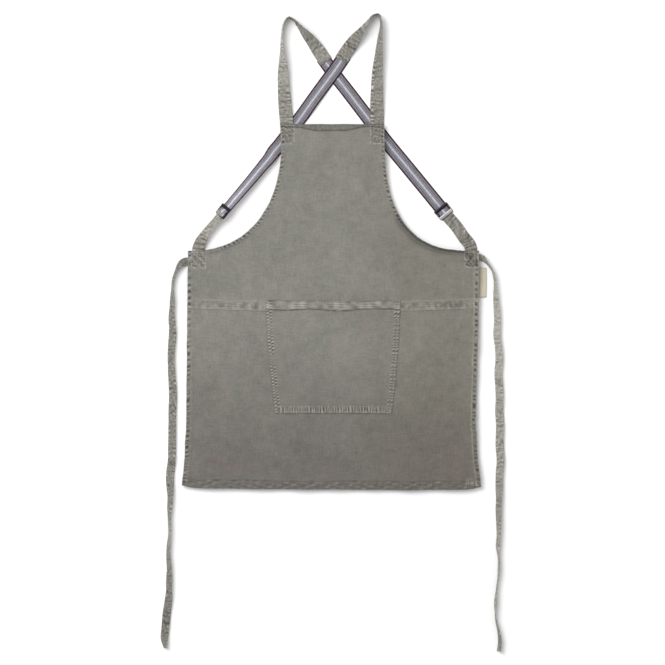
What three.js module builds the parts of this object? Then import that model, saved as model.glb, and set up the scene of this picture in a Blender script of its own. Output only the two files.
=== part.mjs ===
// Canvas bib apron with cross-back straps, laid flat with its front up.
// Millimetres, +Z up, +Y towards the neck; the origin is under the middle of the laid-out apron.
import * as THREE from "three";

// Thickness of each cloth, and the clearance between pieces that lie on each other
const CANVAS = 1.2;
const HEM = 2.6;
const STRAP = 2.0;
const TIE = 1.6;
const WEBBING = 1.4;
const LABEL = 0.8;
const GAP = 0.3;

// Widths of the straps
const STRAP_WIDTH = 32;
const WEBBING_WIDTH = 32.5;
const TAB_WIDTH = 29;
const TIE_WIDTH = 20;

// Body outline: the bib's top corners, the waist corners, and each armhole's upper end and squareness
const BIB = { top: 490, left: -123, right: 122 };
const WAIST = { y: 189, left: -340, right: 346 };
const ARMHOLE = {
  left: { x: -120, top: 450, power: 2.25 },
  right: { x: 123, top: 480, power: 2.8 },
};
const HEM_LINE = -367;
const SIDE_EDGES = [
  { y: WAIST.y, left: WAIST.left, right: WAIST.right },
  { y: 0, left: -342, right: 344 },
  { y: -207, left: -344, right: 338 },
  { y: -302, left: -348, right: 343 },
  { y: HEM_LINE, left: -354, right: 351 },
];

// Hem depths, the slope at a hem's inner edge, and the height of the ruffle along a hem
const SIDE_HEM = 11;
const BIB_HEM = 17;
const FOOT_HEM = 20;
const BAND = 20;
const HEM_SLOPE = 2;
const RUFFLE = 0.9;

// The waist band laps the skirt; the cloth sags between the hips, bows along the foot and drops at its right
const BAND_TOP = 68;
const SKIRT_TOP = BAND_TOP - BAND + 14;
const WAIST_SAG = 8;
const FOOT_BOW = 4;
const FOOT_DROP = { depth: 3, reach: 250 };
const SAG_REACH = 110;
const CORNER_ROUND = { rise: 6, reach: 42 };

// Patch pocket: a trapezoid whose mouth stands open in the middle
const POCKET = { top: 73, bottom: -192, bow: 3 };
const POCKET_SIDES = { topLeft: -157, topRight: 161, bottomLeft: -134, bottomRight: 141 };
const POCKET_HEM = { top: 26, side: 12, bottom: 19 };
const POCKET_GAPE = 7;
const POCKET_FLARE = 40;

// Cloth lifted by what is sewn behind the corners of the bib and of the waist
const BIB_LIFT = { height: 6, full: 78, none: 165 };
const WAIST_LIFT = { height: TIE + STRAP + 2 * GAP + 0.1, full: 68, none: 135 };

// Grid density of the panels, and the step between stations of a strap
const PANEL_COLUMNS = 13;
const ARMHOLE_ROWS = 11;
const HIP_ROWS = 5;
const SKIRT_ROWS = 28;
const POCKET_ROWS = 14;
const POCKET_COLUMNS = 10;
const STRAP_STEP = 13;
const TIE_STEP = 17;

// Slide buckle: frame, bars and slots along its length, and its place on each side
const BUCKLE = { width: 37, length: 26, thick: 2.4, corner: 3, rail: 1.7, base: STRAP + GAP };
const SLOTS = [
  { from: -8.5, to: -2 },
  { from: 2, to: 7 },
];
const BUCKLE_PLACE = {
  left: { x: -255, y: 282, alongX: -0.64, alongY: -0.768, lean: 46 },
  right: { x: 263.5, y: 283, alongX: 0.63, alongY: -0.777, lean: 0 },
};

// Shoulder straps, from the end sewn behind the bib, over the loop, to the webbing; lean is from flat
const SHOULDER_ROUTES = {
  left: [
    { x: -105, y: 440, lean: 0, lift: WEBBING + GAP },
    { x: -107, y: 490, lean: 0, lift: WEBBING + GAP },
    { x: -111, y: 530, lean: -14, lift: 1 },
    { x: -114, y: 570, lean: -28, lift: 0 },
    { x: -116, y: 613, lean: -38, lift: 0 },
    { x: -118, y: 655, lean: -68, lift: 0 },
    { x: -119, y: 693, lean: -86, lift: 0 },
    { x: -114, y: 726, lean: -90, lift: 0 },
    { x: -103, y: 741, lean: -90, lift: 0 },
    { x: -90, y: 735, lean: -94, lift: 0 },
    { x: -76, y: 719, lean: -106, lift: 0 },
    { x: -61, y: 701, lean: -130, lift: 0 },
    { x: -46, y: 682, lean: -145, lift: 0 },
    { x: -33, y: 664, lean: -164, lift: 0.6 },
    { x: -24, y: 651, lean: -180, lift: WEBBING + GAP },
    { x: -14, y: 637, lean: -180, lift: WEBBING + GAP },
  ],
  right: [
    { x: 106, y: 440, lean: 0, lift: WEBBING + GAP },
    { x: 106, y: 490, lean: 0, lift: WEBBING + GAP },
    { x: 105, y: 530, lean: -14, lift: WEBBING + GAP },
    { x: 105, y: 570, lean: -28, lift: 0 },
    { x: 106, y: 613, lean: -40, lift: 0 },
    { x: 109, y: 655, lean: -55, lift: 0 },
    { x: 112, y: 693, lean: -70, lift: 0 },
    { x: 115, y: 727, lean: -84, lift: 0 },
    { x: 110, y: 747, lean: -90, lift: 0 },
    { x: 98, y: 746, lean: -95, lift: 0 },
    { x: 86, y: 732, lean: -100, lift: 0 },
    { x: 71, y: 711, lean: -120, lift: 0 },
    { x: 52, y: 687, lean: -153, lift: 0.6 },
    { x: 39, y: 668, lean: -172, lift: 2 },
    { x: 31, y: 656, lean: -180, lift: 2 * (WEBBING + GAP) },
    { x: 21, y: 641, lean: -180, lift: 2 * (WEBBING + GAP) },
  ],
};

// Webbing from under each shoulder strap's end to its buckle; it crosses to the other side
const WEBBING_ROUTES = {
  left: [
    { x: 29, y: 653, lean: 0, lift: WEBBING + GAP },
    { x: 21, y: 641, lean: 0, lift: WEBBING + GAP },
    { x: 7, y: 620, lean: 0, lift: WEBBING + GAP },
    { x: -10, y: 597, lean: 0, lift: WEBBING + GAP },
    { x: -36, y: 562, lean: 9, lift: 0 },
    { x: -54, y: 537, lean: 11, lift: 0 },
    { x: -70, y: 514, lean: 4, lift: 0 },
    { x: -82, y: 498, lean: 0, lift: 0 },
    { x: -125, y: 440, lean: 0, lift: 0 },
    { x: -137, y: 426, lean: 6, lift: 0 },
    { x: -148, y: 410, lean: 24, lift: 0 },
    { x: -164, y: 391, lean: 33, lift: 0 },
    { x: -187, y: 363, lean: 38, lift: 0 },
    { x: -220, y: 324, lean: 42, lift: 1 },
  ],
  right: [
    { x: -21, y: 647, lean: 0, lift: 0 },
    { x: -14, y: 637, lean: 0, lift: 0 },
    { x: 7, y: 608, lean: 0, lift: 0 },
    { x: 42, y: 563, lean: 0, lift: 0 },
    { x: 81, y: 512, lean: 0, lift: 0 },
    { x: 124, y: 456, lean: 0, lift: 0 },
    { x: 193, y: 372, lean: 0, lift: 0 },
  ],
};
const BUCKLE_WEAVE = [
  { along: -13, over: 0 },
  { along: -8.8, over: 0 },
  { along: -2.2, over: BUCKLE.base + BUCKLE.thick + GAP },
  { along: 2.2, over: BUCKLE.base + BUCKLE.thick + GAP },
  { along: 6.6, over: STRAP + GAP },
];

// Hip tabs from under each buckle's lower bar to the waist corner
const TAB_ROUTES = {
  left: [
    { x: -280, y: 255, lean: 52, lift: 1 },
    { x: -297, y: 234, lean: 46, lift: 0 },
    { x: -310, y: 212, lean: 22, lift: 1 },
    { x: -315, y: 197, lean: 0, lift: TIE + GAP },
    { x: -316, y: 172, lean: 0, lift: TIE + GAP },
    { x: -316, y: 150, lean: 0, lift: TIE + GAP },
  ],
  right: [
    { x: 294, y: 247, lean: 0, lift: 0 },
    { x: 309, y: 225, lean: 0, lift: 0.8 },
    { x: 325, y: 203, lean: 0, lift: TIE + GAP },
    { x: 328, y: 174, lean: 0, lift: TIE + GAP },
    { x: 329, y: 153, lean: 0, lift: TIE + GAP },
  ],
};
const TAB_START = [{ along: 0 }, { along: 13 }];

// Waist ties from the end sewn behind each waist corner to the free end
const TIE_ROUTES = {
  left: [
    { x: -303, y: 166, lean: 0, lift: 0 },
    { x: -337, y: 166, lean: 0, lift: 0 },
    { x: -348, y: 165, lean: 5, lift: 0 },
    { x: -357, y: 160, lean: 40, lift: 0 },
    { x: -366, y: 147, lean: 72, lift: 0 },
    { x: -374, y: 127, lean: 76, lift: 0 },
    { x: -378, y: 101, lean: 70, lift: 0 },
    { x: -377, y: 57, lean: 50, lift: 0 },
    { x: -378, y: 12, lean: 34, lift: 0 },
    { x: -380, y: -33, lean: 28, lift: 0 },
    { x: -380, y: -78, lean: 36, lift: 0 },
    { x: -378, y: -145, lean: 20, lift: 0 },
    { x: -376.5, y: -212, lean: 22, lift: 0 },
    { x: -379, y: -302, lean: 32, lift: 0 },
    { x: -382, y: -346, lean: 16, lift: 0 },
    { x: -383, y: -391, lean: 46, lift: 0 },
    { x: -384, y: -436, lean: 68, lift: 0 },
    { x: -384, y: -481, lean: 74, lift: 0 },
    { x: -386, y: -526, lean: 54, lift: 0 },
    { x: -384, y: -570, lean: 48, lift: 0 },
    { x: -385, y: -615, lean: 42, lift: 0 },
    { x: -391, y: -660, lean: 14, lift: 0 },
    { x: -394, y: -705, lean: 12, lift: 0 },
    { x: -395, y: -724, lean: 30, lift: 0 },
    { x: -393, y: -744, lean: 60, lift: 0 },
  ],
  right: [
    { x: 312, y: 175, lean: 0, lift: 0 },
    { x: 344, y: 175.5, lean: 0, lift: 0 },
    { x: 353, y: 173.5, lean: 42, lift: 0 },
    { x: 363, y: 165, lean: 74, lift: 0 },
    { x: 371, y: 155, lean: 80, lift: 0 },
    { x: 379, y: 142, lean: 78, lift: 0 },
    { x: 382, y: 125, lean: 72, lift: 0 },
    { x: 383, y: 101, lean: 64, lift: 0 },
    { x: 387, y: 57, lean: 48, lift: 0 },
    { x: 388.5, y: 12, lean: 38, lift: 0 },
    { x: 391, y: -33, lean: 35, lift: 0 },
    { x: 392.5, y: -78, lean: 30, lift: 0 },
    { x: 393.5, y: -145, lean: 24, lift: 0 },
    { x: 395.5, y: -240, lean: 24, lift: 0 },
    { x: 395.5, y: -302, lean: 22, lift: 0 },
    { x: 394.5, y: -346, lean: 32, lift: 0 },
    { x: 392.5, y: -391, lean: 46, lift: 0 },
    { x: 392.5, y: -436, lean: 52, lift: 0 },
    { x: 390.5, y: -478, lean: 60, lift: 0 },
    { x: 389, y: -508, lean: 70, lift: 0 },
    { x: 392, y: -545, lean: 82, lift: 0 },
    { x: 390, y: -576, lean: 85, lift: 0 },
    { x: 386.5, y: -598, lean: 86, lift: 0 },
    { x: 384.5, y: -635, lean: 86, lift: 0 },
    { x: 385, y: -676, lean: 84, lift: 0 },
    { x: 390.5, y: -702, lean: 75, lift: 0 },
    { x: 393, y: -726, lean: 68, lift: 0 },
    { x: 391.5, y: -752, lean: 56, lift: 0 },
  ],
};

// Side label: a folded loop whose ends are sewn under the right side hem, at the height of its base
const SIDE_LABEL = { tuck: 338, out: 363.5, low: 82, high: 151, fold: 3, base: 2.4 };

const CANVAS_FINISH = { color: 0x8a8981, roughness: 0.92, metalness: 0 };
const STRAP_FINISH = { color: 0x93928a, roughness: 0.92, metalness: 0 };
const WEBBING_FINISH = { color: 0x9a93a1, roughness: 0.7, metalness: 0 };
const BUCKLE_FINISH = { color: 0xb9bac0, roughness: 0.25, metalness: 1 };
const LABEL_FINISH = { color: 0xe1d7b9, roughness: 0.8, metalness: 0 };

// A value that is full up to one distance and falls smoothly to nothing at another
function fade(distance, full, none) {
  return 1 - THREE.MathUtils.smoothstep(distance, full, none);
}

// Left and right side edges at a height, between the rows of the side table
function sideEdges(y) {
  const last = SIDE_EDGES.length - 2;
  let k = 0;
  while (k < last && y < SIDE_EDGES[k + 1].y) k += 1;
  const upper = SIDE_EDGES[k];
  const lower = SIDE_EDGES[k + 1];
  const part = (upper.y - y) / (upper.y - lower.y);
  return {
    left: THREE.MathUtils.lerp(upper.left, lower.left, part),
    right: THREE.MathUtils.lerp(upper.right, lower.right, part),
  };
}

// Armhole edge at a height: a superellipse quarter up from the waist corner, then straight to the bib's
function armholeEdge(y, side) {
  const { x, top, power } = ARMHOLE[side];
  if (y > top) return THREE.MathUtils.lerp(x, BIB[side], (y - top) / (BIB.top - top));
  const rise = (y - WAIST.y) / (top - WAIST.y);
  const reach = (1 - (1 - rise) ** power) ** (1 / power);
  return THREE.MathUtils.lerp(WAIST[side], x, reach);
}

// Edges of the whole body at a height
function bodyEdges(y) {
  if (y <= WAIST.y) return sideEdges(y);
  return { left: armholeEdge(y, "left"), right: armholeEdge(y, "right") };
}

// Height of a point in the laid cloth: rows bow up at the hips, and the foot's corners are rounded
function laid(point) {
  const across = (point.x / WAIST.right) ** 2;
  const atWaist = Math.exp(-(((point.y - BAND_TOP) / SAG_REACH) ** 2));
  const atFoot = Math.exp(-(((point.y - HEM_LINE) / SAG_REACH) ** 2));
  const fromSide = Math.abs(SIDE_EDGES.at(-1).left) - Math.abs(point.x);
  const corner = 1 - THREE.MathUtils.clamp(fromSide / CORNER_ROUND.reach, 0, 1);
  const drop = FOOT_DROP.depth * THREE.MathUtils.smoothstep(point.x, 0, FOOT_DROP.reach);
  const foot = CORNER_ROUND.rise * corner ** 2 - FOOT_BOW * (1 - across) - drop;
  return point.y + WAIST_SAG * across * atWaist + foot * atFoot;
}

// A point inside an edge by a given depth, square to the edge and mitred at its corners
function insetPoint(edge, row, depth, side) {
  const at = edge[row];
  if (row === 0 || row === edge.length - 1) return new THREE.Vector2(at.x - side * depth, at.y);
  const before = at.clone().sub(edge[row - 1]).normalize();
  const after = edge[row + 1].clone().sub(at).normalize();
  const normalBefore = new THREE.Vector2(side * before.y, -side * before.x);
  const normalAfter = new THREE.Vector2(side * after.y, -side * after.x);
  const mitre = normalBefore.clone().add(normalAfter);
  return at.clone().addScaledVector(mitre, depth / (1 + normalBefore.dot(normalAfter)));
}

// A panel's grid of points from the top row down; zone is 0 on the edge, 1 and 2 at the hem's inner
// edge, and 3 inside
function panelGrid(rows, columns, hemDepth) {
  const left = rows.map((row) => new THREE.Vector2(row.left, row.y));
  const right = rows.map((row) => new THREE.Vector2(row.right, row.y));
  const depths = [0, hemDepth, hemDepth + HEM_SLOPE];
  return rows.map((row, j) => {
    const fromLeft = depths.map((depth) => insetPoint(left, j, depth, -1));
    const fromRight = depths.map((depth) => insetPoint(right, j, depth, 1)).reverse();
    const inside = [];
    for (let i = 1; i <= columns; i += 1) {
      inside.push(fromLeft[2].clone().lerp(fromRight[0], i / (columns + 1)));
    }
    return [...fromLeft, ...inside, ...fromRight].map((point, i, line) => ({
      x: point.x,
      y: laid(point),
      row: j,
      zone: Math.min(row.zone, i, line.length - 1 - i, 3),
    }));
  });
}

// How many columns a grid point is from the nearer side
function columnsFromSide(grid, point) {
  const column = grid[point.row].indexOf(point);
  return Math.min(column, grid[point.row].length - 1 - column);
}

// A closed solid between two equal grids of points
function closedSheet(top, bottom) {
  const rows = top.length;
  const columns = top[0].length;
  const size = rows * columns;
  const faces = [];
  const at = (j, i) => j * columns + i;
  for (let j = 0; j + 1 < rows; j += 1) {
    for (let i = 0; i + 1 < columns; i += 1) {
      const [a, b, c, d] = [at(j, i), at(j + 1, i), at(j + 1, i + 1), at(j, i + 1)];
      faces.push(a, b, c, a, c, d);
      faces.push(size + a, size + c, size + b, size + a, size + d, size + c);
    }
  }
  const rim = [];
  for (let j = 0; j + 1 < rows; j += 1) rim.push(at(j, 0));
  for (let i = 0; i + 1 < columns; i += 1) rim.push(at(rows - 1, i));
  for (let j = rows - 1; j > 0; j -= 1) rim.push(at(j, columns - 1));
  for (let i = columns - 1; i > 0; i -= 1) rim.push(at(0, i));
  rim.forEach((p, k) => {
    const q = rim[(k + 1) % rim.length];
    faces.push(p, size + p, size + q, p, size + q, q);
  });
  const points = [...top.flat(), ...bottom.flat()].flatMap((p) => [p.x, p.y, p.z]);
  const geometry = new THREE.BufferGeometry();
  geometry.setAttribute("position", new THREE.Float32BufferAttribute(points, 3));
  geometry.setIndex(faces);
  geometry.computeVertexNormals();
  return geometry;
}

// Hemmed cloth over a height field: the hem is folded under, so the step is on the back
function hemmedCloth(grid, lift) {
  const folded = HEM - CANVAS;
  const height = (point, over) => new THREE.Vector3(point.x, point.y, lift(point) + over);
  const ruffle = (point) => (point.zone === 0 ? RUFFLE * (point.row % 2) : 0);
  const top = grid.map((line) => line.map((p) => height(p, (p.zone < 3 ? HEM : CANVAS) + ruffle(p))));
  const bottom = grid.map((line) => line.map((p) => height(p, (p.zone === 2 ? folded : 0) + ruffle(p))));
  return closedSheet(top, bottom);
}

// Bib and waist in one panel, whose folded lower edge is the waist band over the skirt
function upperPanel() {
  const rows = [
    { y: BIB.top, zone: 0 },
    { y: BIB.top - BIB_HEM, zone: 1 },
    { y: BIB.top - BIB_HEM - HEM_SLOPE, zone: 2 },
  ];
  const armholeTop = BIB.top - BIB_HEM - HEM_SLOPE;
  for (let k = ARMHOLE_ROWS - 1; k >= 0; k -= 1) {
    const rise = (k / ARMHOLE_ROWS) ** 2;
    rows.push({ y: WAIST.y + (armholeTop - WAIST.y) * rise, zone: 3 });
  }
  for (let k = 1; k < HIP_ROWS; k += 1) {
    rows.push({ y: THREE.MathUtils.lerp(WAIST.y, BAND_TOP, k / HIP_ROWS), zone: 3 });
  }
  rows.push({ y: BAND_TOP + HEM_SLOPE, zone: 2 });
  rows.push({ y: BAND_TOP, zone: 1 });
  rows.push({ y: BAND_TOP - BAND, zone: 0 });
  const edged = rows.map((row) => ({ ...row, ...bodyEdges(row.y) }));
  const grid = panelGrid(edged, PANEL_COLUMNS, SIDE_HEM);
  const bandRow = rows.length - 3;
  return hemmedCloth(grid, (point) => {
    const overHem = columnsFromSide(grid, point) < 3;
    const onSkirt = point.row < bandRow ? 0 : (overHem ? HEM + RUFFLE : CANVAS) + GAP;
    const atBib = cornerLift(point, BIB, BIB.top, BIB_LIFT);
    const atWaist = cornerLift(point, WAIST, WAIST.y, WAIST_LIFT);
    return Math.max(onSkirt, atBib, atWaist);
  });
}

// Height of the cloth near a pair of corners with something sewn behind them
function cornerLift(point, pair, y, lift) {
  const nearest = Math.min(
    Math.hypot(point.x - pair.left, point.y - y),
    Math.hypot(point.x - pair.right, point.y - y),
  );
  return lift.height * fade(nearest, lift.full, lift.none);
}

// Skirt from under the waist band to the foot hem
function skirtPanel() {
  const rows = [];
  const inner = HEM_LINE + FOOT_HEM + HEM_SLOPE;
  for (let k = 0; k < SKIRT_ROWS; k += 1) {
    rows.push({ y: THREE.MathUtils.lerp(SKIRT_TOP, inner, k / SKIRT_ROWS), zone: 3 });
  }
  rows.push({ y: inner, zone: 2 });
  rows.push({ y: HEM_LINE + FOOT_HEM, zone: 1 });
  rows.push({ y: HEM_LINE, zone: 0 });
  const edged = rows.map((row) => ({ ...row, ...sideEdges(row.y) }));
  return hemmedCloth(panelGrid(edged, PANEL_COLUMNS, SIDE_HEM), () => 0);
}

// Patch pocket on the skirt, lapping the waist band, with its mouth standing open
function pocketPatch() {
  const slopeTop = POCKET.top - POCKET_HEM.top - HEM_SLOPE;
  const slopeBottom = POCKET.bottom + POCKET_HEM.bottom + HEM_SLOPE;
  const rows = [
    { y: POCKET.top, zone: 0 },
    { y: POCKET.top - POCKET_HEM.top, zone: 1 },
  ];
  for (let k = 0; k <= POCKET_ROWS; k += 1) {
    const zone = k === 0 || k === POCKET_ROWS ? 2 : 3;
    rows.push({ y: THREE.MathUtils.lerp(slopeTop, slopeBottom, k / POCKET_ROWS), zone });
  }
  rows.push({ y: POCKET.bottom + POCKET_HEM.bottom, zone: 1 });
  rows.push({ y: POCKET.bottom, zone: 0 });
  const depth = POCKET.top - POCKET.bottom;
  const edged = rows.map((row) => {
    const down = (POCKET.top - row.y) / depth;
    const bow = POCKET.bow * Math.sin(Math.PI * down);
    return {
      ...row,
      left: THREE.MathUtils.lerp(POCKET_SIDES.topLeft, POCKET_SIDES.bottomLeft, down) - bow,
      right: THREE.MathUtils.lerp(POCKET_SIDES.topRight, POCKET_SIDES.bottomRight, down) + bow,
    };
  });
  const grid = panelGrid(edged, POCKET_COLUMNS, POCKET_HEM.side);
  return hemmedCloth(grid, (point) => {
    const onBand = point.row < 3 ? CANVAS + HEM + 2 * GAP : CANVAS + GAP;
    if (columnsFromSide(grid, point) < 3) return onBand;
    const across = 1 - (point.x / POCKET_SIDES.topRight) ** 2;
    const down = fade(POCKET.top - point.y, POCKET_FLARE, depth);
    return onBand + POCKET_GAPE * across * down;
  });
}

// Across and normal directions of a strap that runs along a direction and leans over from flat
function leaningFrame(along, lean) {
  const turn = THREE.MathUtils.degToRad(lean);
  const up = new THREE.Vector3(0, 0, 1);
  const side = new THREE.Vector3(-along.y, along.x, 0).normalize();
  const across = side.clone().multiplyScalar(Math.cos(turn)).addScaledVector(up, Math.sin(turn));
  const normal = up.clone().multiplyScalar(Math.cos(turn)).addScaledVector(side, -Math.sin(turn));
  return { across, normal };
}

// Height of a leaning strap's middle over its lower edge
function halfHeight(width, thick, lean) {
  const turn = THREE.MathUtils.degToRad(lean);
  return (Math.abs(Math.sin(turn)) * width + Math.abs(Math.cos(turn)) * thick) / 2;
}

// A column of a route between row k and the next; a row without the column counts as 0
function mix(route, k, part, column) {
  return THREE.MathUtils.lerp(route[k][column] ?? 0, route[k + 1][column] ?? 0, part);
}

// A flat strap along a route: each station is turned by its lean, with its lower edge at its lift, and
// stands off its own plane by its over
function ribbon(route, width, thick, step) {
  const points = route.map((row) => new THREE.Vector3(row.x, row.y, 0));
  const curve = new THREE.CatmullRomCurve3(points, false, "centripetal");
  const top = [];
  const bottom = [];
  const addStation = (k, part) => {
    const u = (k + part) / (route.length - 1);
    const lean = mix(route, k, part, "lean");
    const { across, normal } = leaningFrame(curve.getTangent(u), lean);
    const centre = curve.getPoint(u);
    centre.z = mix(route, k, part, "lift") + halfHeight(width, thick, lean);
    centre.addScaledVector(normal, mix(route, k, part, "over"));
    const line = [-0.5, 0, 0.5].map((share) => centre.clone().addScaledVector(across, share * width));
    top.push(line.map((p) => p.clone().addScaledVector(normal, thick / 2)));
    bottom.push(line.map((p) => p.clone().addScaledVector(normal, -thick / 2)));
  };
  for (let k = 0; k + 1 < route.length; k += 1) {
    const pieces = Math.max(1, Math.round(points[k].distanceTo(points[k + 1]) / step));
    for (let piece = 0; piece < pieces; piece += 1) addStation(k, piece / pieces);
  }
  addStation(route.length - 2, 1);
  return closedSheet(top, bottom);
}

// A buckle's own directions, and the point under its middle that its straps lie on
function buckleFrame(side) {
  const place = BUCKLE_PLACE[side];
  const along = new THREE.Vector3(place.alongX, place.alongY, 0).normalize();
  const middle = new THREE.Vector3(place.x, place.y, halfHeight(BUCKLE.width, 0, place.lean));
  return { along, middle, lean: place.lean, ...leaningFrame(along, place.lean) };
}

// A route row on a buckle's centre line, with the strap's underside a given height over its plane
function onBuckle(side, distance, over, width, thick) {
  const { along, middle, normal, lean } = buckleFrame(side);
  const centre = middle.clone().addScaledVector(along, distance).addScaledVector(normal, thick / 2);
  return { x: centre.x, y: centre.y, lean, lift: centre.z - halfHeight(width, thick, lean), over };
}

// Webbing that dips under the buckle's upper bar, over its middle bar and down again
function webbing(side) {
  const weave = BUCKLE_WEAVE.map((row) => onBuckle(side, row.along, row.over, WEBBING_WIDTH, WEBBING));
  return ribbon([...WEBBING_ROUTES[side], ...weave], WEBBING_WIDTH, WEBBING, STRAP_STEP);
}

// Hip tab whose upper end lies under the buckle's middle and lower bars
function hipTab(side) {
  const start = TAB_START.map((row) => onBuckle(side, row.along, 0, TAB_WIDTH, STRAP));
  return ribbon([...start, ...TAB_ROUTES[side]], TAB_WIDTH, STRAP, STRAP_STEP);
}

// A rounded rectangle as a shape or a hole
function roundedRectangle(target, left, low, right, high, corner) {
  target.moveTo(left + corner, low);
  target.lineTo(right - corner, low);
  target.absarc(right - corner, low + corner, corner, -Math.PI / 2, 0, false);
  target.absarc(right - corner, high - corner, corner, 0, Math.PI / 2, false);
  target.absarc(left + corner, high - corner, corner, Math.PI / 2, Math.PI, false);
  target.absarc(left + corner, low + corner, corner, Math.PI, 1.5 * Math.PI, false);
  return target;
}

// Slide buckle: a flat frame with two slots, on either side of a middle bar
function slideBuckle() {
  const half = BUCKLE.width / 2;
  const end = BUCKLE.length / 2;
  const frame = roundedRectangle(new THREE.Shape(), -half, -end, half, end, BUCKLE.corner);
  const inner = half - BUCKLE.rail;
  frame.holes = SLOTS.map((slot) =>
    roundedRectangle(new THREE.Path(), -inner, -slot.to, inner, -slot.from, 0.8),
  );
  return new THREE.ExtrudeGeometry(frame, { depth: BUCKLE.thick, bevelEnabled: false, curveSegments: 3 });
}

// Side label: a thin tape tucked under the hem, with its outer edge rounded by the fold
function sideLabel() {
  const tape = new THREE.Shape();
  tape.moveTo(SIDE_LABEL.tuck, SIDE_LABEL.low);
  tape.lineTo(SIDE_LABEL.out - SIDE_LABEL.fold, SIDE_LABEL.low);
  tape.lineTo(SIDE_LABEL.out, SIDE_LABEL.low + SIDE_LABEL.fold / 2);
  tape.lineTo(SIDE_LABEL.out, SIDE_LABEL.high - SIDE_LABEL.fold / 2);
  tape.lineTo(SIDE_LABEL.out - SIDE_LABEL.fold, SIDE_LABEL.high);
  tape.lineTo(SIDE_LABEL.tuck, SIDE_LABEL.high);
  const geometry = new THREE.ExtrudeGeometry(tape, { depth: LABEL, bevelEnabled: false });
  return geometry.translate(0, 0, SIDE_LABEL.base);
}

const apron = new THREE.Group();

function add(name, geometry, finish) {
  const mesh = new THREE.Mesh(geometry, new THREE.MeshStandardMaterial(finish));
  mesh.name = name;
  apron.add(mesh);
  return mesh;
}

add("upper_panel", upperPanel(), CANVAS_FINISH);
add("skirt_panel", skirtPanel(), CANVAS_FINISH);
add("pocket", pocketPatch(), CANVAS_FINISH);
for (const side of ["left", "right"]) {
  const shoulderStrap = ribbon(SHOULDER_ROUTES[side], STRAP_WIDTH, STRAP, STRAP_STEP);
  add(`shoulder_strap_${side}`, shoulderStrap, STRAP_FINISH);
  add(`webbing_${side}`, webbing(side), WEBBING_FINISH);
  add(`hip_tab_${side}`, hipTab(side), STRAP_FINISH);
  add(`waist_tie_${side}`, ribbon(TIE_ROUTES[side], TIE_WIDTH, TIE, TIE_STEP), STRAP_FINISH);
  const buckle = add(`buckle_${side}`, slideBuckle(), BUCKLE_FINISH);
  const { across, along, normal, middle } = buckleFrame(side);
  buckle.setRotationFromMatrix(new THREE.Matrix4().makeBasis(across, along.negate(), normal));
  buckle.position.copy(middle).addScaledVector(normal, BUCKLE.base);
}
add("side_label", sideLabel(), LABEL_FINISH);

export default apron;
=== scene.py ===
# Garment-washed canvas apron laid flat: cloth panels, straps, webbing, buckles, label and stitching.
import math

import bmesh
import bpy
import numpy as np
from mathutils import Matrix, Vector
from mathutils.geometry import delaunay_2d_cdt


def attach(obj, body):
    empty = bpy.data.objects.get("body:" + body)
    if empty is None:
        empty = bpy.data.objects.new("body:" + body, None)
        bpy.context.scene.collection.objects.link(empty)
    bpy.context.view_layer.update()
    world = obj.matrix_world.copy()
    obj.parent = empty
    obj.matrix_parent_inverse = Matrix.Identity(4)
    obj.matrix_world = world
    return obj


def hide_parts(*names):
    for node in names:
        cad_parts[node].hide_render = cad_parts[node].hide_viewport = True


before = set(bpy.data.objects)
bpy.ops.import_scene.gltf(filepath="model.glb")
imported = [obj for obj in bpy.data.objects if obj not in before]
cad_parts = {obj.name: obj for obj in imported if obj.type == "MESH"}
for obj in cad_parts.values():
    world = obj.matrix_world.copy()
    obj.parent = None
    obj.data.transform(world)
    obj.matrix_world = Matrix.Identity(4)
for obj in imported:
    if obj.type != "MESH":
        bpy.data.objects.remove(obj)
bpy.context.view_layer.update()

# Plan sizes are worked in millimetres, as in the part's source, and meshes are made in metres
MM = 0.001
SIDES = ("left", "right")

# Thickness of each cloth, and the clearance between pieces that lie on each other
CANVAS = 1.2
HEM = 2.6
STRAP = 2.0
TIE = 1.6
WEBBING = 1.4
LABEL = 0.9
GAP = 0.3

# Widths of the straps
STRAP_WIDTH = 32.0
WEBBING_WIDTH = 32.5
TAB_WIDTH = 29.0
TIE_WIDTH = 20.0

# Body outline
BIB = {"top": 490.0, "left": -123.0, "right": 122.0}
WAIST = {"y": 189.0, "left": -340.0, "right": 346.0}
ARMHOLE = {
    "left": {"x": -120.0, "top": 450.0, "power": 2.25},
    "right": {"x": 123.0, "top": 480.0, "power": 2.8},
}
HEM_LINE = -367.0
SIDE_EDGES = (
    # y, left, right
    (HEM_LINE, -354.0, 351.0),
    (-302.0, -348.0, 343.0),
    (-207.0, -344.0, 338.0),
    (0.0, -342.0, 344.0),
    (WAIST["y"], WAIST["left"], WAIST["right"]),
)
BAND_TOP = 68.0
BAND = 20.0
SKIRT_TOP = 62.0
WAIST_SAG = 8.0
FOOT_BOW = 4.0
FOOT_DROP = {"depth": 3.0, "reach": 250.0}
SAG_REACH = 110.0
CORNER_ROUND = {"rise": 6.0, "reach": 42.0}

# Patch pocket
POCKET = {"top": 73.0, "bottom": -192.0, "bow": 3.0, "gape": 3.2, "flare": 40.0}
POCKET_SIDES = {"top": (-157.0, 161.0), "bottom": (-134.0, 141.0)}

# Cloth lifted by what is sewn behind the corners of the bib and of the waist
BIB_LIFT = {"height": 6.0, "full": 78.0, "none": 165.0}
WAIST_LIFT = {"height": TIE + STRAP + 2 * GAP + 0.1, "full": 68.0, "none": 135.0}

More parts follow.
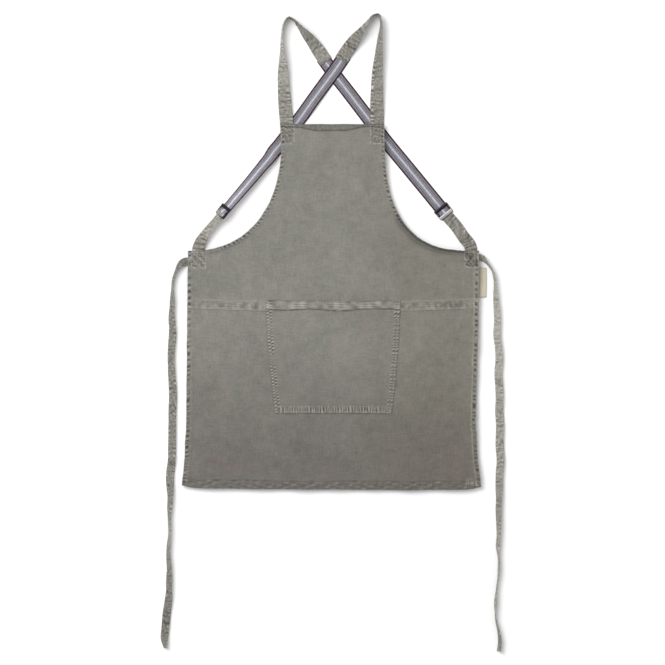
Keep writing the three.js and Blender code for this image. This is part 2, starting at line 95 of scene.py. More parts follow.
# Folds of the hems: depth, extra thickness, rows of stitching from the edge, curl of the edge off the floor,
# tone of the whole fold (painted shade on the bib's top hem), the painted shade line at its inner edge where
# the fold steps down (a painted light line on the band), how far that line wanders, wear of the rim (painted
# shadow in the gap at the pocket's mouth, a darker rim along the bib's top edge, and painted light along the
# band's lower edge where its step casts a shadow), the light line beside the stitching, and mottle
FOLD_COLUMNS = ("depth", "fold", "rows", "curl", "tone", "line", "sway", "rim", "seam", "mottle")
FOLDS = {
    "bib_top": (15.5, 1.2, (), 0.0, -0.36, 0.65, 0.9, -0.25, 0.0, 0.07),
    "armhole_left": (10.0, 1.4, (8.5,), 2.0, 0.0, 0.12, 0.3, 0.15, 0.15, 0.06),
    "armhole_right": (10.0, 1.4, (8.5,), 13.0, 0.0, 0.12, 0.3, 0.2, 0.15, 0.06),
    "side_left": (11.0, 1.4, (9.5,), 2.0, 0.0, 0.05, 0.3, 0.15, 0.2, 0.08),
    "side_right": (11.0, 1.4, (9.5,), 14.0, 0.0, 0.05, 0.3, 0.3, 0.4, 0.08),
    "skirt_left": (11.0, 1.4, (9.5,), 2.0, 0.0, 0.05, 0.3, 0.15, 0.25, 0.08),
    "skirt_right": (11.0, 1.4, (9.5,), 15.0, 0.0, 0.05, 0.3, 0.3, 0.45, 0.08),
    "band": (20.0, 0.3, (3.0, 17.0), 0.0, 0.0, -0.12, 0.6, 0.5, 0.12, 0.08),
    "foot": (19.0, 1.2, (16.5,), 14.0, -0.2, 0.35, 1.0, 0.1, 0.1, 0.2),
    "raw": (1.0, 0.0, (), 0.0, 0.0, 0.0, 0.0, 0.0, 0.0, 0.0),
    "pocket_left": (13.0, 0.4, (2.6, 11.5), 0.0, -0.08, 0.08, 0.3, 0.1, 0.2, 0.06),
    "pocket_right": (13.0, 0.4, (2.6, 11.5), 0.0, -0.08, 0.08, 0.3, 0.1, 0.2, 0.06),
    "pocket_bottom": (18.0, 0.4, (2.6, 16.0), 0.0, 0.04, 0.25, 0.4, -0.2, 0.3, 0.08),
    "pocket_mouth": (20.5, 0.4, (17.5,), 0.0, 0.0, 1.0, 1.4, -0.4, 0.1, 0.06),
}

# Marks that the stitching draws up along each hem: pitch at the first and the last end, slant, distances
# from the edge, half their length, height, depth of the dark hollows, wear of the light crests, and the
# lengths left bare at the two ends
MARK_COLUMNS = ("first", "last", "slant", "at", "reach", "height", "dash", "wear", "bare_first", "bare_last")
MARKS = {
    "bib_top": (13.0, 13.0, 0.3, (7.0,), 6.0, 0.1, 0.05, 0.05, 0, 0),
    "armhole_left": (9.3, 9.8, 0.5, (4.0,), 3.2, 0.45, 1.1, 0.4, 0, 95),
    "armhole_right": (9.8, 9.3, -0.4, (4.2,), 2.6, 0.45, 1.25, 0.4, 205, 0),
    "side_left": (17.0, 16.0, 0.15, (4.5,), 3.6, 0.45, 1.0, 0.35, 0, 0),
    "side_right": (16.0, 17.0, -0.1, (5.5,), 3.0, 0.45, 0.85, 0.3, 0, 0),
    "skirt_left": (15.0, 8.2, 0.3, (4.0,), 3.8, 0.45, 1.05, 0.45, 0, 0),
    "skirt_right": (8.2, 15.5, -0.1, (5.0,), 2.6, 0.45, 1.2, 0.3, 0, 0),
    "band": (17.0, 17.0, 0.1, (10.0,), 5.0, 0.08, 0.25, 0.15, 0, 0),
    "foot": (4.6, 4.2, 0.05, (9.0,), 8.0, 0.15, 0.25, 0.3, 0, 0),
    "raw": (20.0, 20.0, 0.0, (), 1.0, 0.0, 0.0, 0.0, 0, 0),
    "pocket_left": (7.4, 7.2, 0.1, (3.0, 10.5), 2.4, 0.45, 0.95, 0.95, 0, 0),
    "pocket_right": (7.6, 7.2, 0.5, (3.0, 10.5), 2.4, 0.45, 0.95, 0.95, 0, 0),
    "pocket_bottom": (6.0, 6.2, 0.05, (9.5,), 7.0, 0.3, 0.7, 0.5, 0, 0),
    "pocket_mouth": (42.0, 42.0, 0.0, (10.0,), 6.0, 0.1, 0.0, 0.1, 0, 0),
}
HEMS = {
    name: {**dict(zip(FOLD_COLUMNS, FOLDS[name])), **dict(zip(MARK_COLUMNS, MARKS[name]))}
    for name in FOLDS
}

# Waver of a cut edge, depth of the groove along a row of stitching, how far in from an edge its curl reaches,
# how far the straps pull up the inner line of the bib's top hem near its ends, and the rise of the body's
# slow waves
WAVER = 0.22
HEM_GROOVE = 0.4
STRAP_GROOVE = 0.3
CURL_REACH = 56.0
BIB_PULL = {"depth": 9.0, "from": 45.0, "to": 100.0}
BODY_RISE = {"height": 0.55, "base": 1.7}

# Painted shade along the low end of each armhole, drawn as dark lines: where they fade out, and their
# distance from the edge, spread and depth
ARM_SHADE_LINES = {
    "left": {"fade": (205.0, 245.0), "lines": ((1.5, 2.2, 0.5), (9.0, 2.2, 0.4))},
    "right": {"fade": (258.0, 296.0), "lines": ((3.0, 4.5, 1.0), (11.5, 4.0, 0.4))},
}

# Back stitching worn light at the right end of the foot hem
BACK_TACK = {"from": 310.0, "to": 318.0, "y": -356.0, "spread": 8.0, "pitch": 5.0, "wear": 0.8}

# Bar tacks at the two ends of the pocket's mouth: from and to in x, the bars in y, the worn spots under them,
# and the wear of the mouth
TACK_X = ((-158.0, -142.0), (147.0, 162.0))
TACK_Y = (55.0, 58.0, 61.0, 64.0)
TACK_SPOTS = ((-151.0, 60.0), (155.0, 59.0))
POCKET_WEAR = 0.7

# Wear of the waist band, and the pitch of the light rows worn along a flat fold
BAND_WEAR = 0.4
STREAK_PITCH = 5.6

# Steps of a panel's mesh along its hems, and its spacing inside them
BODY_STEPS = (2.0, 5.0)
POCKET_STEPS = (1.7, 4.5)

# Boxes of stitching that hold what is sewn behind the corners: x from, x to, y from, y to
SEWN_BOXES = {
    "bib_left": (-121.0, -90.0, 443.0, 486.0),
    "bib_right": (90.0, 121.0, 443.0, 486.0),
    "waist_left": (-333.0, -298.0, 150.0, 187.0),
    "waist_right": (312.0, 343.0, 152.0, 187.0),
}
BOX_TONE = {"bib_left": -0.15, "bib_right": -0.15, "waist_left": -0.1, "waist_right": -0.4}
BOX_RIDGE = {"pitch": 6.6, "height": 0.35, "wear": 0.45, "mottle": 0.2, "rim": 0.75}

# Slide buckle: its bars along it, where the bright one is cut short, the plates that show on the left side
# alone, as x from and to, y from and to, corner, rise and crown, and its place on each side
BUCKLE = {"width": 37.0, "length": 26.0, "thick": 2.4, "rail": 1.7, "base": STRAP + GAP}
BUCKLE_BARS = {"upper": (-15.0, -7.4), "bright": (3.4, 12.0)}
BRIGHT_CUT = {"left": 8.0, "right": 0.5}
HALF_BUCKLE, BUCKLE_END = BUCKLE["width"] / 2, BUCKLE["length"] / 2
LEFT_PLATES = (
    (HALF_BUCKLE - 5.5, HALF_BUCKLE + 0.4, -8.0, BUCKLE_END + 0.6, 2.4, 0.5, 0.2),
    (2.0, HALF_BUCKLE - 1.0, BUCKLE_END - 1.6, BUCKLE_END + 0.9, 1.0, 0.3, 0.1),
)
BUCKLE_PLACE = {
    "left": {"at": (-255.0, 282.0), "along": (-0.64, -0.768), "lean": 46.0},
    "right": {"at": (263.5, 283.0), "along": (0.63, -0.777), "lean": 0.0},
}
OVER_BAR = BUCKLE["base"] + BUCKLE["thick"] + GAP
BUCKLE_WEAVE = ((-13.0, 0.0), (-8.8, 0.0), (-2.2, OVER_BAR), (2.2, OVER_BAR), (6.6, STRAP + GAP))
TAB_START = ((0.0, 0.0), (13.0, 0.0))

# Routes of the straps: x, y, lean from flat, and the height of the lower edge where it is off the floor
ON_WEBBING = WEBBING + GAP
ON_TIE = TIE + GAP
SHOULDER_ROUTES = {
    "left": (
        (-105, 440, 0, ON_WEBBING), (-107, 490, 0, ON_WEBBING), (-111, 530, -14, 1), (-114, 570, -28),
        (-116, 613, -38), (-118, 655, -68), (-119, 693, -86), (-114, 726, -90), (-103, 741, -90),
        (-90, 735, -94), (-76, 719, -106), (-61, 701, -130), (-46, 682, -145), (-33, 664, -164, 0.6),
        (-24, 651, -180, ON_WEBBING), (-14, 637, -180, ON_WEBBING),
    ),
    "right": (
        (106, 440, 0, ON_WEBBING), (106, 490, 0, ON_WEBBING), (105, 530, -14, ON_WEBBING),
        (105, 570, -28), (106, 613, -40), (109, 655, -55), (112, 693, -70), (115, 727, -84),
        (110, 747, -90), (98, 746, -95), (86, 732, -100), (71, 711, -120), (52, 687, -153, 0.6),
        (39, 668, -172, 2), (31, 656, -180, 2 * ON_WEBBING), (21, 641, -180, 2 * ON_WEBBING),
    ),
}
WEBBING_ROUTES = {
    "left": (
        (30, 652, 0, ON_WEBBING), (22, 640, 0, ON_WEBBING), (8, 619, 0, ON_WEBBING),
        (-9, 596, 0, ON_WEBBING), (-35, 561, 9), (-53, 536, 11), (-69, 513, 4), (-81, 497, 0),
        (-125, 440, 0), (-137, 426, 6), (-148, 410, 24), (-164, 391, 33), (-187, 363, 38),
        (-220, 324, 42, 1),
    ),
    "right": (
        (-22.5, 646, 0), (-15.5, 636, 0), (5.5, 607, 0), (40.5, 562, 0), (79.5, 511, 0), (122.5, 455, 0),
        (191.5, 371, 0),
    ),
}
TAB_ROUTES = {
    "left": (
        (-280, 255, 52, 1), (-297, 234, 46), (-310, 212, 22, 1), (-315, 197, 0, ON_TIE),
        (-316, 172, 0, ON_TIE), (-316, 150, 0, ON_TIE),
    ),
    "right": (
        (294, 247, 0), (309, 225, 0, 0.8), (325, 203, 0, ON_TIE), (328, 174, 0, ON_TIE),
        (329, 153, 0, ON_TIE),
    ),
}
TIE_ROUTES = {
    "left": (
        (-303, 166, 0), (-337, 166, 0), (-348, 165, 5), (-357, 160, 40), (-366, 147, 72), (-374, 127, 76),
        (-378, 101, 70), (-376, 57, 50), (-377, 12, 34), (-378.5, -33, 28), (-378.5, -78, 36),
        (-377, -145, 20), (-376.5, -212, 22), (-379, -302, 32), (-382, -346, 16), (-383, -391, 46),
        (-384, -436, 68), (-384, -481, 74), (-386, -526, 54), (-384, -570, 48), (-385, -615, 42),
        (-391, -660, 14), (-394, -705, 12), (-395, -724, 30), (-393, -744, 60),
    ),
    "right": (
        (312, 175, 0), (344, 175.5, 0), (353, 173.5, 42), (363, 165, 74), (371, 155, 80), (379, 142, 78),
        (382, 125, 72), (383, 101, 64), (387, 57, 48), (388.5, 12, 38), (391, -33, 35), (392.5, -78, 30),
        (393.5, -145, 24), (395.5, -240, 24), (395.5, -302, 22), (394.5, -346, 32), (392.5, -391, 46),
        (392.5, -436, 52), (390.5, -478, 60), (389, -508, 70), (392, -545, 82), (390, -576, 85),
        (386.5, -598, 86), (384.5, -635, 86), (385, -676, 84), (390.5, -702, 75), (393, -726, 68),
        (391.5, -752, 56),
    ),
}
LABEL_ROUTE = ((339, 116.5, 0, 4.4), (350, 116.5, 0, 4.6), (363, 116.5, 0, 2.6))
LABEL_HEIGHT = 69.0

# How far round a shoulder strap rolls where its loop stands on edge, in radians, and how a loose tie strays
LOOP_ROLL = 0.55
TIE_STRAY = {"sway": 0.8, "twist": 4.0}

# Kinds of strap: width, thickness, step between stations, stations its lean is evened over, material, slot
STRAP_KINDS = {
    "shoulder_strap": (STRAP_WIDTH, STRAP, 2.0, 5, "strap", "strap_canvas"),
    "webbing": (WEBBING_WIDTH, WEBBING, 1.5, 0.8, "webbing", "webbing"),
    "hip_tab": (TAB_WIDTH, STRAP, 1.7, 4, "strap", "strap_canvas"),
    "waist_tie": (TIE_WIDTH, TIE, 2.2, 5, "strap", "strap_canvas"),
}

# How much lighter each strap is than the plain colour (painted light on the left tab and the right tie, which
# face the light), and its stretches of painted light and shade at the loops, folds, twists and leaning
# webbing: middle, spread, tone
STRAP_TONE = {"left": 0.21, "right": 0.08}
STRAP_SHADES = {"left": ((262, 34, 0.6), (195, 40, 0.22), (379, 5, -0.45), (394, 4, -0.4)),
                "right": ((318, 8, -0.6), (270, 40, 0.15), (373, 5, -0.35), (413, 6, -0.4))}
WEBBING_SHADES = {"left": ((440, 90, 0.34),), "right": ()}
TAB_TONE = {"left": 0.34, "right": 0.02}
TAB_SHADES = {"left": ((92, 16, -0.35),), "right": ((82, 9, -0.3),)}
TIE_TONE = {"left": -0.08, "right": 0.37}
TIE_SHADES = {"left": ((50, 12, -0.25), (71, 9, -0.4), (530, 6, -0.45), (700, 34, 0.35), (905, 62, -0.3)),
              "right": ((170, 150, 0.4), (640, 60, -0.3), (945, 36, -0.65))}

# How the straps are sewn: pitch, height and wear of the puckers, depth and pitch of the cross creases, which
# are also painted dark as shade, and the place of the two rows as a share of the width; then how far each
# edge of a shoulder strap is marked
STRAP_SEWING = {"pitch": 9.0, "height": 0.45, "wear": 1.05, "crease": 0.5, "fold": 9.6, "row": 0.4}
TAB_SEWING = {"pitch": 9.0, "height": 0.6, "wear": 0.6, "crease": 0.6, "fold": 9.4, "row": 0.4}
TIE_SEWING = {"pitch": 8.5, "height": 0.3, "wear": 0.85, "crease": 0.4, "fold": 10.5, "row": 0.36}
STRAP_MARKS = {"left": (1.0, 0.3), "right": (0.3, 1.0)}

# Stitches: pitch along the row, length, thread width; and how far short of a strap's ends its rows stop
TOPSTITCH = {"pitch": 3.4, "length": 2.7, "thread": 0.75}
BARTACK = {"pitch": 1.5, "length": 2.2, "thread": 0.8}
ROW_END = 4.0

# How far past the worn colour the lightest crests go; the height in metres where the body's colour starts to
# darken down to the foot; and its darker, warmer tint on the right, painted shade with a warmer hue, which
# comes in between two distances in metres
MOST_WORN = 1.6
FALL_FROM = 0.06
TINT_FROM, TINT_TO = 0.02, 0.2
RIGHT_TINT = (0.925, 0.912, 0.862, 1)

# Camera straight above, with the photograph's scale in metres a pixel; one key light, a soft sky and a floor
IMAGE_PIXELS = 665
PIXEL = 2.357 * MM
PICTURE_CENTRE = (0.0007, -0.0012)
CAMERA_HEIGHT = 12.0
KEY = {"at": (-2.0, 2.0, 4.9), "size": 3.4, "watts": 225.0}
AMBIENT = 0.75
HALF_FLOOR = 9.0


# Small numeric helpers

def smooth(value, start, end):
    """0 before start and 1 after end, eased between them."""
    t = np.clip((value - start) / (end - start), 0.0, 1.0)
    return t * t * (3 - 2 * t)


def bump(value, middle, spread):
    """A bell of height 1."""
    return np.exp(-(((value - middle) / spread) ** 2))


def wander(seed, shortest, longest, waves=9):
    """A smooth random field of unit strength, made of plane waves with lengths in a range."""
    rng = np.random.default_rng(seed)
    lengths = rng.uniform(shortest, longest, waves)
    headings = rng.uniform(0, 2 * math.pi, waves)
    phases = rng.uniform(0, 2 * math.pi, waves)

    def field(x, y=0.0):
        total = np.zeros_like(np.asarray(x, float))
        for length, heading, phase in zip(lengths, headings, phases):
            run = x * math.cos(heading) + y * math.sin(heading)
            total = total + np.sin(2 * math.pi * run / length + phase)
        return total * math.sqrt(2 / waves)

    return field


def resample(points, step):
    """A polyline with even steps of about the given length."""
    run = np.concatenate([[0], np.cumsum(np.hypot(*np.diff(points, axis=0).T))])
    count = max(2, int(round(run[-1] / step)) + 1)
    at = np.linspace(0, run[-1], count)
    return np.column_stack([np.interp(at, run, points[:, k]) for k in range(points.shape[1])])


def inward_normals(points):
    """Unit normals to the left of an open polyline."""
    along = np.gradient(points, axis=0)
    along /= np.linalg.norm(along, axis=1)[:, None]
    return np.column_stack([-along[:, 1], along[:, 0]])


def along_edge(points, x, y):
    """Distance from an edge, and the length along it at the nearest point."""
    coarse = resample(points, 6.0)
    run = np.concatenate([[0], np.cumsum(np.hypot(*np.diff(coarse, axis=0).T))])
    nearest = np.full(len(x), 1e9)
    length = np.zeros(len(x))
    for k in range(len(coarse) - 1):
        sx, sy = coarse[k + 1] - coarse[k]
        size = math.hypot(sx, sy)
        dx, dy = x - coarse[k, 0], y - coarse[k, 1]
        part = np.clip((dx * sx + dy * sy) / size**2, 0, 1)
        gap = np.hypot(dx - part * sx, dy - part * sy)
        closer = gap < nearest
        nearest[closer] = gap[closer]
        length[closer] = run[k] + part[closer] * size
    return nearest, length


def inside(outline, x, y):
    """Which points lie inside a closed outline."""
    odd = np.zeros(len(x), bool)
    for a, b in zip(outline, np.roll(outline, -1, axis=0)):
        if a[1] == b[1]:
            continue
        crosses = (a[1] > y) != (b[1] > y)
        odd ^= crosses & (x < a[0] + (y - a[1]) * (b[0] - a[0]) / (b[1] - a[1]))
    return odd


# Outlines of the body

def side_x(y, side):
    rows = np.array(SIDE_EDGES)
    return np.interp(y, rows[:, 0], rows[:, 1 if side == "left" else 2])


def armhole_x(y, side):
    """A superellipse quarter up from the waist corner, then straight to the bib's corner."""
    end = ARMHOLE[side]
    rise = np.clip((y - WAIST["y"]) / (end["top"] - WAIST["y"]), 0, 1)
    reach = (1 - (1 - rise) ** end["power"]) ** (1 / end["power"])
    flare = np.clip((y - end["top"]) / (BIB["top"] - end["top"]), 0, 1)
    return WAIST[side] + (end["x"] - WAIST[side]) * reach + (BIB[side] - end["x"]) * flare


def laid(points):
    """Points as the cloth lies: rows bow up at the hips, and the foot's corners are rounded."""
    x, y = points.T
    across = (x / WAIST["right"]) ** 2
    at_waist = bump(y, BAND_TOP, SAG_REACH)
    at_foot = bump(y, HEM_LINE, SAG_REACH)
    corner = 1 - np.clip((-SIDE_EDGES[0][1] - np.abs(x)) / CORNER_ROUND["reach"], 0, 1)
    drop = FOOT_DROP["depth"] * smooth(x, 0, FOOT_DROP["reach"])
    foot = CORNER_ROUND["rise"] * corner**2 - FOOT_BOW * (1 - across) - drop
    return np.column_stack([x, y + WAIST_SAG * across * at_waist + foot * at_foot])


def pocket_x(y, k):
    down = (POCKET["top"] - y) / (POCKET["top"] - POCKET["bottom"])
    bow = POCKET["bow"] * np.sin(math.pi * down)
    straight = POCKET_SIDES["top"][k] + (POCKET_SIDES["bottom"][k] - POCKET_SIDES["top"][k]) * down
    return straight + (bow if k else -bow)


def edge(name, x, y, step, seed):
    """One edge of a panel, named by its hem, walked with the cloth on its left and a slight waver."""
    x, y = np.broadcast_arrays(np.asarray(x, float), np.asarray(y, float))
    points = resample(laid(np.column_stack([x, y])), step)
    run = np.arange(len(points)) * step
    ends = np.minimum(smooth(run, 0, 12), smooth(run[::-1], 0, 12))
    waver = WAVER * wander(seed, 14, 70)(run) * ends
    points = points + inward_normals(points) * waver[:, None]
    return {"name": name, "hem": HEMS[name], "points": points, "seed": seed, "length": len(points) * step}


def upper_edges(step):
    rise = np.linspace(0, 1, 400) ** 2
    arm_y = WAIST["y"] + (BIB["top"] - WAIST["y"]) * rise
    low, hip = BAND_TOP - BAND, WAIST["y"]
    side_y = np.linspace(low, hip, 40)
    return [
        edge("band", np.linspace(side_x(low, "left"), side_x(low, "right"), 80), low, step, 11),
        edge("side_right", side_x(side_y, "right"), side_y, step, 12),
        edge("armhole_right", armhole_x(arm_y, "right"), arm_y, step, 13),
        edge("bib_top", np.linspace(BIB["right"], BIB["left"], 40), BIB["top"], step, 14),
        edge("armhole_left", armhole_x(arm_y, "left")[::-1], arm_y[::-1], step, 15),
        edge("side_left", side_x(side_y, "left")[::-1], side_y[::-1], step, 16),
    ]


def skirt_edges(step):
    side_y = np.linspace(HEM_LINE, SKIRT_TOP, 120)
    foot_x = np.linspace(side_x(HEM_LINE, "left"), side_x(HEM_LINE, "right"), 160)
    top_x = np.linspace(side_x(SKIRT_TOP, "right"), side_x(SKIRT_TOP, "left"), 80)
    return [
        edge("foot", foot_x, HEM_LINE, step, 21),
        edge("skirt_right", side_x(side_y, "right"), side_y, step, 22),
        edge("raw", top_x, SKIRT_TOP, step, 23),
        edge("skirt_left", side_x(side_y, "left")[::-1], side_y[::-1], step, 24),
    ]


def pocket_edges(step):
    side_y = np.linspace(POCKET["bottom"], POCKET["top"], 80)
    low, high = POCKET["bottom"], POCKET["top"]
    return [
        edge("pocket_bottom", np.linspace(*POCKET_SIDES["bottom"], 60), low, step, 31),
        edge("pocket_right", pocket_x(side_y, 1), side_y, step, 32),
        edge("pocket_mouth", np.linspace(*POCKET_SIDES["top"][::-1], 60), high, step, 33),
        edge("pocket_left", pocket_x(side_y, 0)[::-1], side_y[::-1], step, 34),
    ]


# Relief of the cloth

BODY_WAVE = wander(5, 70, 210, 11)


def body_wave(x, y):
    """Gentle rise and fall of the laid body, none at its rim and at the waist band."""
    side = np.minimum(x - side_x(y, "left"), side_x(y, "right") - x)
    rim = smooth(side, 6, 60) * smooth(y - HEM_LINE, 10, 70) * smooth(BIB["top"] - y, 10, 60)
    off_band = smooth(np.abs(y - BAND_TOP + BAND / 2), 18, 70)
    return BODY_RISE["height"] * (BODY_WAVE(x, y) + BODY_RISE["base"]).clip(0) * rim * off_band


def hem_relief(line, away, run):
    """Height over the lift, fold cover, and painted wear and shading of one hem at distances from its edge
    and along it.
    """
    hem, seed = line["hem"], line["seed"]
    depth = hem["depth"] + hem["sway"] * wander(seed + 100, 45, 130)(run)
    if line["name"] == "bib_top":
        from_end = np.minimum(run, line["length"] - run)
        depth = depth - BIB_PULL["depth"] * (1 - smooth(from_end, BIB_PULL["from"], BIB_PULL["to"]))
    gain = np.clip(0.9 + 0.28 * wander(seed + 200, 25, 120)(run), 0.3, 1.3)
    gain = gain * smooth(run, hem["bare_first"] - 30, hem["bare_first"])
    gain = gain * smooth(line["length"] - run, hem["bare_last"] - 30, hem["bare_last"])
    shift = 0.2 * wander(seed + 300, 18, 60)(run)
    pitch = hem["first"] + (hem["last"] - hem["first"]) * run / line["length"]
    turns = (run + hem["slant"] * away) / np.sqrt(hem["first"] * pitch)
    cover = 1 - smooth(away, depth - 0.4, depth + 1.9)
    # Painted shade: the bib's top hem is darkened as a whole, and a dark line is painted at each fold's inner
    # edge where the fold steps down; some rims carry painted shadow or light as well as wear
    wear_and_shading = (hem["tone"] + hem["mottle"] * wander(seed + 500, 5, 18)(run, away)) * cover
    wear_and_shading = wear_and_shading - hem["line"] * bump(away, depth + 0.4, 1.5) + hem["rim"] * bump(away, 0.6, 1.5)
    height = np.zeros_like(away)
    for k, at in enumerate(hem["at"]):
        ridge = np.sin(2 * math.pi * (turns + shift + 0.5 * k))
        beside = gain * bump(away, at, hem["reach"])
        height = height + hem["height"] * ridge * beside * smooth(away, 0.2, 2.0)
        worn = hem["wear"] * smooth(ridge, 0.0, 0.9) - hem["dash"] * smooth(-ridge, 0.0, 0.7)
        wear_and_shading = wear_and_shading + beside * worn
    for row in hem["rows"]:
        height = height - HEM_GROOVE * bump(away, row, 1.0)
        wear_and_shading = wear_and_shading + hem["seam"] * bump(away, row + 1.5, 1.4)
    return height, cover, wear_and_shading


def corner_lift(x, y, pair, at_y, lift):
    nearest = np.minimum(np.hypot(x - pair["left"], y - at_y), np.hypot(x - pair["right"], y - at_y))
    return lift["height"] * (1 - smooth(nearest, lift["full"], lift["none"]))


def box_relief(x, y):
    """Ridges, mottle and light outline of the boxes of stitching behind the corners."""
    height, wear_and_shading = np.zeros_like(x), np.zeros_like(x)
    for k, (name, (x0, x1, y0, y1)) in enumerate(SEWN_BOXES.items()):
        rim = np.minimum(np.minimum(x - x0, x1 - x), np.minimum(y - y0, y1 - y))
        within = smooth(rim, -1, 2)
        phase = y / BOX_RIDGE["pitch"] + 0.35 * wander(70 + k, 12, 34)(x, y)
        ridge = np.sin(2 * math.pi * phase) * np.clip(0.6 + 0.6 * wander(60 + k, 9, 24)(x, y), 0, 1.4)
        mottle = wander(80 + k, 5, 13)(x, y)
        height = height + BOX_RIDGE["height"] * ridge * within
        wear_and_shading = wear_and_shading + (BOX_RIDGE["wear"] * ridge + BOX_RIDGE["mottle"] * mottle + BOX_TONE[name]) * within
        wear_and_shading = wear_and_shading + BOX_RIDGE["rim"] * bump(rim, 0.4, 1.3) * (0.7 + 0.3 * mottle)
    return height, wear_and_shading


def hemmed_relief(edges, lift, x, y):
    """Top, bottom, and painted wear and shading of a hemmed panel over a lift."""
    height, fold, wear_and_shading, curl = (np.zeros_like(x) for _ in range(4))
    rim = np.full(len(x), 1e9)
    for line in edges:
        away, run = along_edge(line["points"], x, y)
        own_height, own_cover, own_wear_and_shading = hem_relief(line, away, run)
        height, wear_and_shading = height + own_height, wear_and_shading + own_wear_and_shading
        fold = np.maximum(fold, line["hem"]["fold"] * own_cover)
        gain = 1 + 0.1 * wander(line["seed"] + 400, 60, 170)(run)
        curl = np.maximum(curl, line["hem"]["curl"] * gain * np.clip(1 - away / CURL_REACH, 0, 1) ** 2)
        rim = np.minimum(rim, away)
    cloth = CANVAS + fold
    middle = lift + curl + cloth / 2
    swell = np.sqrt(np.clip(1 - (1 - np.clip(rim / (HEM * 0.55), 0, 1)) ** 2, 0, 1))
    top = middle + (cloth / 2 + height.clip(-0.8)) * swell
    bottom = np.maximum(middle - cloth / 2 * swell, 0)
    return {"top": np.maximum(top, bottom), "bottom": bottom, "wear_and_shading": wear_and_shading, "rim": rim}


def streaks(seed, x, below):
    """Blocks of fine light rows worn along a flat fold; below is the distance from its edge."""
    block = smooth(wander(seed, 60, 150)(x), -0.5, 0.9)
    rows = np.cos(2 * math.pi * below / STREAK_PITCH + 0.6 * wander(seed + 2, 60, 140)(x))
    return block * (0.35 + 0.65 * rows) + 0.25 * wander(seed + 1, 9, 30)(x, 0.8 * below)


def arm_shade_lines(x, y, sides, rim):
    """Painted shade along the low end of each armhole, drawn as dark lines."""
    below_arm = smooth(y, 176, 188) * smooth(sides, 10, 40)
    total = np.zeros_like(x)
    for side, here in (("left", x < 0), ("right", x > 0)):
        low = below_arm * here * (1 - smooth(y, *ARM_SHADE_LINES[side]["fade"]))
        for away, spread, depth in ARM_SHADE_LINES[side]["lines"]:
            total = total + low * depth * bump(rim, away, spread)
    return total


def upper_relief(edges, x, y):
    sides = np.minimum(x - side_x(y, "left"), side_x(y, "right") - x)
    on_skirt = CANVAS + GAP + (HEM + 0.5 - CANVAS) * (1 - smooth(sides, 12, 24))
    over = y - WAIST_SAG * (x / WAIST["right"]) ** 2
    on_band = on_skirt * (1 - smooth(over, BAND_TOP + 1, BAND_TOP + 13))
    lift = np.maximum(on_band, corner_lift(x, y, BIB, BIB["top"], BIB_LIFT))
    lift = np.maximum(lift, corner_lift(x, y, WAIST, WAIST["y"], WAIST_LIFT)) + body_wave(x, y)
    relief = hemmed_relief(edges, lift, x, y)
    height, wear_and_shading = box_relief(x, y)
    in_body = smooth(relief["rim"], 1, 4)
    relief["top"] = relief["top"] + height * in_body
    fold_low = BAND_TOP - BAND
    on_fold = smooth(over, fold_low, fold_low + 2) * (1 - smooth(over, BAND_TOP - 2, BAND_TOP + 1))
    # Painted highlight along the band's top edge and painted shade just below it, added to the worn rows
    crest = 0.22 * bump(over, BAND_TOP + 2.5, 1.8) - 0.25 * bump(over, BAND_TOP - 2, 1.6)
    worn = BAND_WEAR * streaks(41, x, over - fold_low) * on_fold + crest
    relief["wear_and_shading"] = relief["wear_and_shading"] + wear_and_shading + worn - arm_shade_lines(x, y, sides, relief["rim"])
    return relief


def skirt_relief(edges, x, y):
    relief = hemmed_relief(edges, body_wave(x, y), x, y)
    over = y - BACK_TACK["y"]
    bars = 0.5 + 0.5 * np.cos(2 * math.pi * over / BACK_TACK["pitch"])
    tack = smooth(x, BACK_TACK["from"], BACK_TACK["to"]) * bump(over, 0, BACK_TACK["spread"]) * bars
    relief["wear_and_shading"] = relief["wear_and_shading"] + BACK_TACK["wear"] * tack
    return relief


def pocket_relief(edges, x, y):
    over = y - WAIST_SAG * (x / WAIST["right"]) ** 2
    on_band = CANVAS + GAP + (CANVAS + 2 * GAP) * smooth(over, BAND_TOP - BAND - 14, BAND_TOP - BAND)
    across = (1 - (x / POCKET_SIDES["top"][1]) ** 2).clip(0)
    down = 1 - smooth(POCKET["top"] - y, POCKET["flare"], POCKET["top"] - POCKET["bottom"])
    lift = on_band + POCKET["gape"] * across * down + body_wave(x, y)
    relief = hemmed_relief(edges, lift, x, y)
    on_fold = smooth(over, POCKET["top"] - 19, POCKET["top"] - 17)
    tacks = sum(bump(x, at_x, 9) * bump(y, at_y, 6) for at_x, at_y in TACK_SPOTS)
    worn = streaks(44, x, POCKET["top"] - over) * on_fold
    relief["wear_and_shading"] = relief["wear_and_shading"] + POCKET_WEAR * (worn + tacks)
    return relief


# Meshes of cloth

def placed(name, data):
    """A new object in the scene."""
    item = bpy.data.objects.new(name, data)
    bpy.context.scene.collection.objects.link(item)
    return item


def make_object(name, points, faces, wear_and_shading=None, uv=None):
    """A smooth object from points in millimetres, with its wear and painted shading as an attribute and a UV
    in metres.
    """
    mesh = bpy.data.meshes.new(name)
    mesh.from_pydata((np.asarray(points) * MM).tolist(), [], faces)
    if wear_and_shading is not None:
        layer = mesh.attributes.new("wear_and_shading", "FLOAT", "POINT")
        layer.data.foreach_set("value", np.asarray(wear_and_shading, np.float32))
    if uv is not None:
        corners = np.empty(len(mesh.loops), np.int32)
        mesh.loops.foreach_get("vertex_index", corners)
        layer = mesh.uv_layers.new(name="cloth")
        layer.data.foreach_set("uv", np.asarray(uv, np.float32)[corners].ravel())
    mesh.update()
    mesh.shade_smooth()
    return placed(name, mesh)


def ring_faces(rings, size, closed=False):
    """Quads between rings of points; closed joins the last ring to the first."""
    faces = []
    for j in range(rings if closed else rings - 1):
        here, ahead = j * size, (j + 1) % rings * size
        for i in range(size):
            after = (i + 1) % size
            faces.append((here + i, here + after, ahead + after, ahead + i))
    return faces


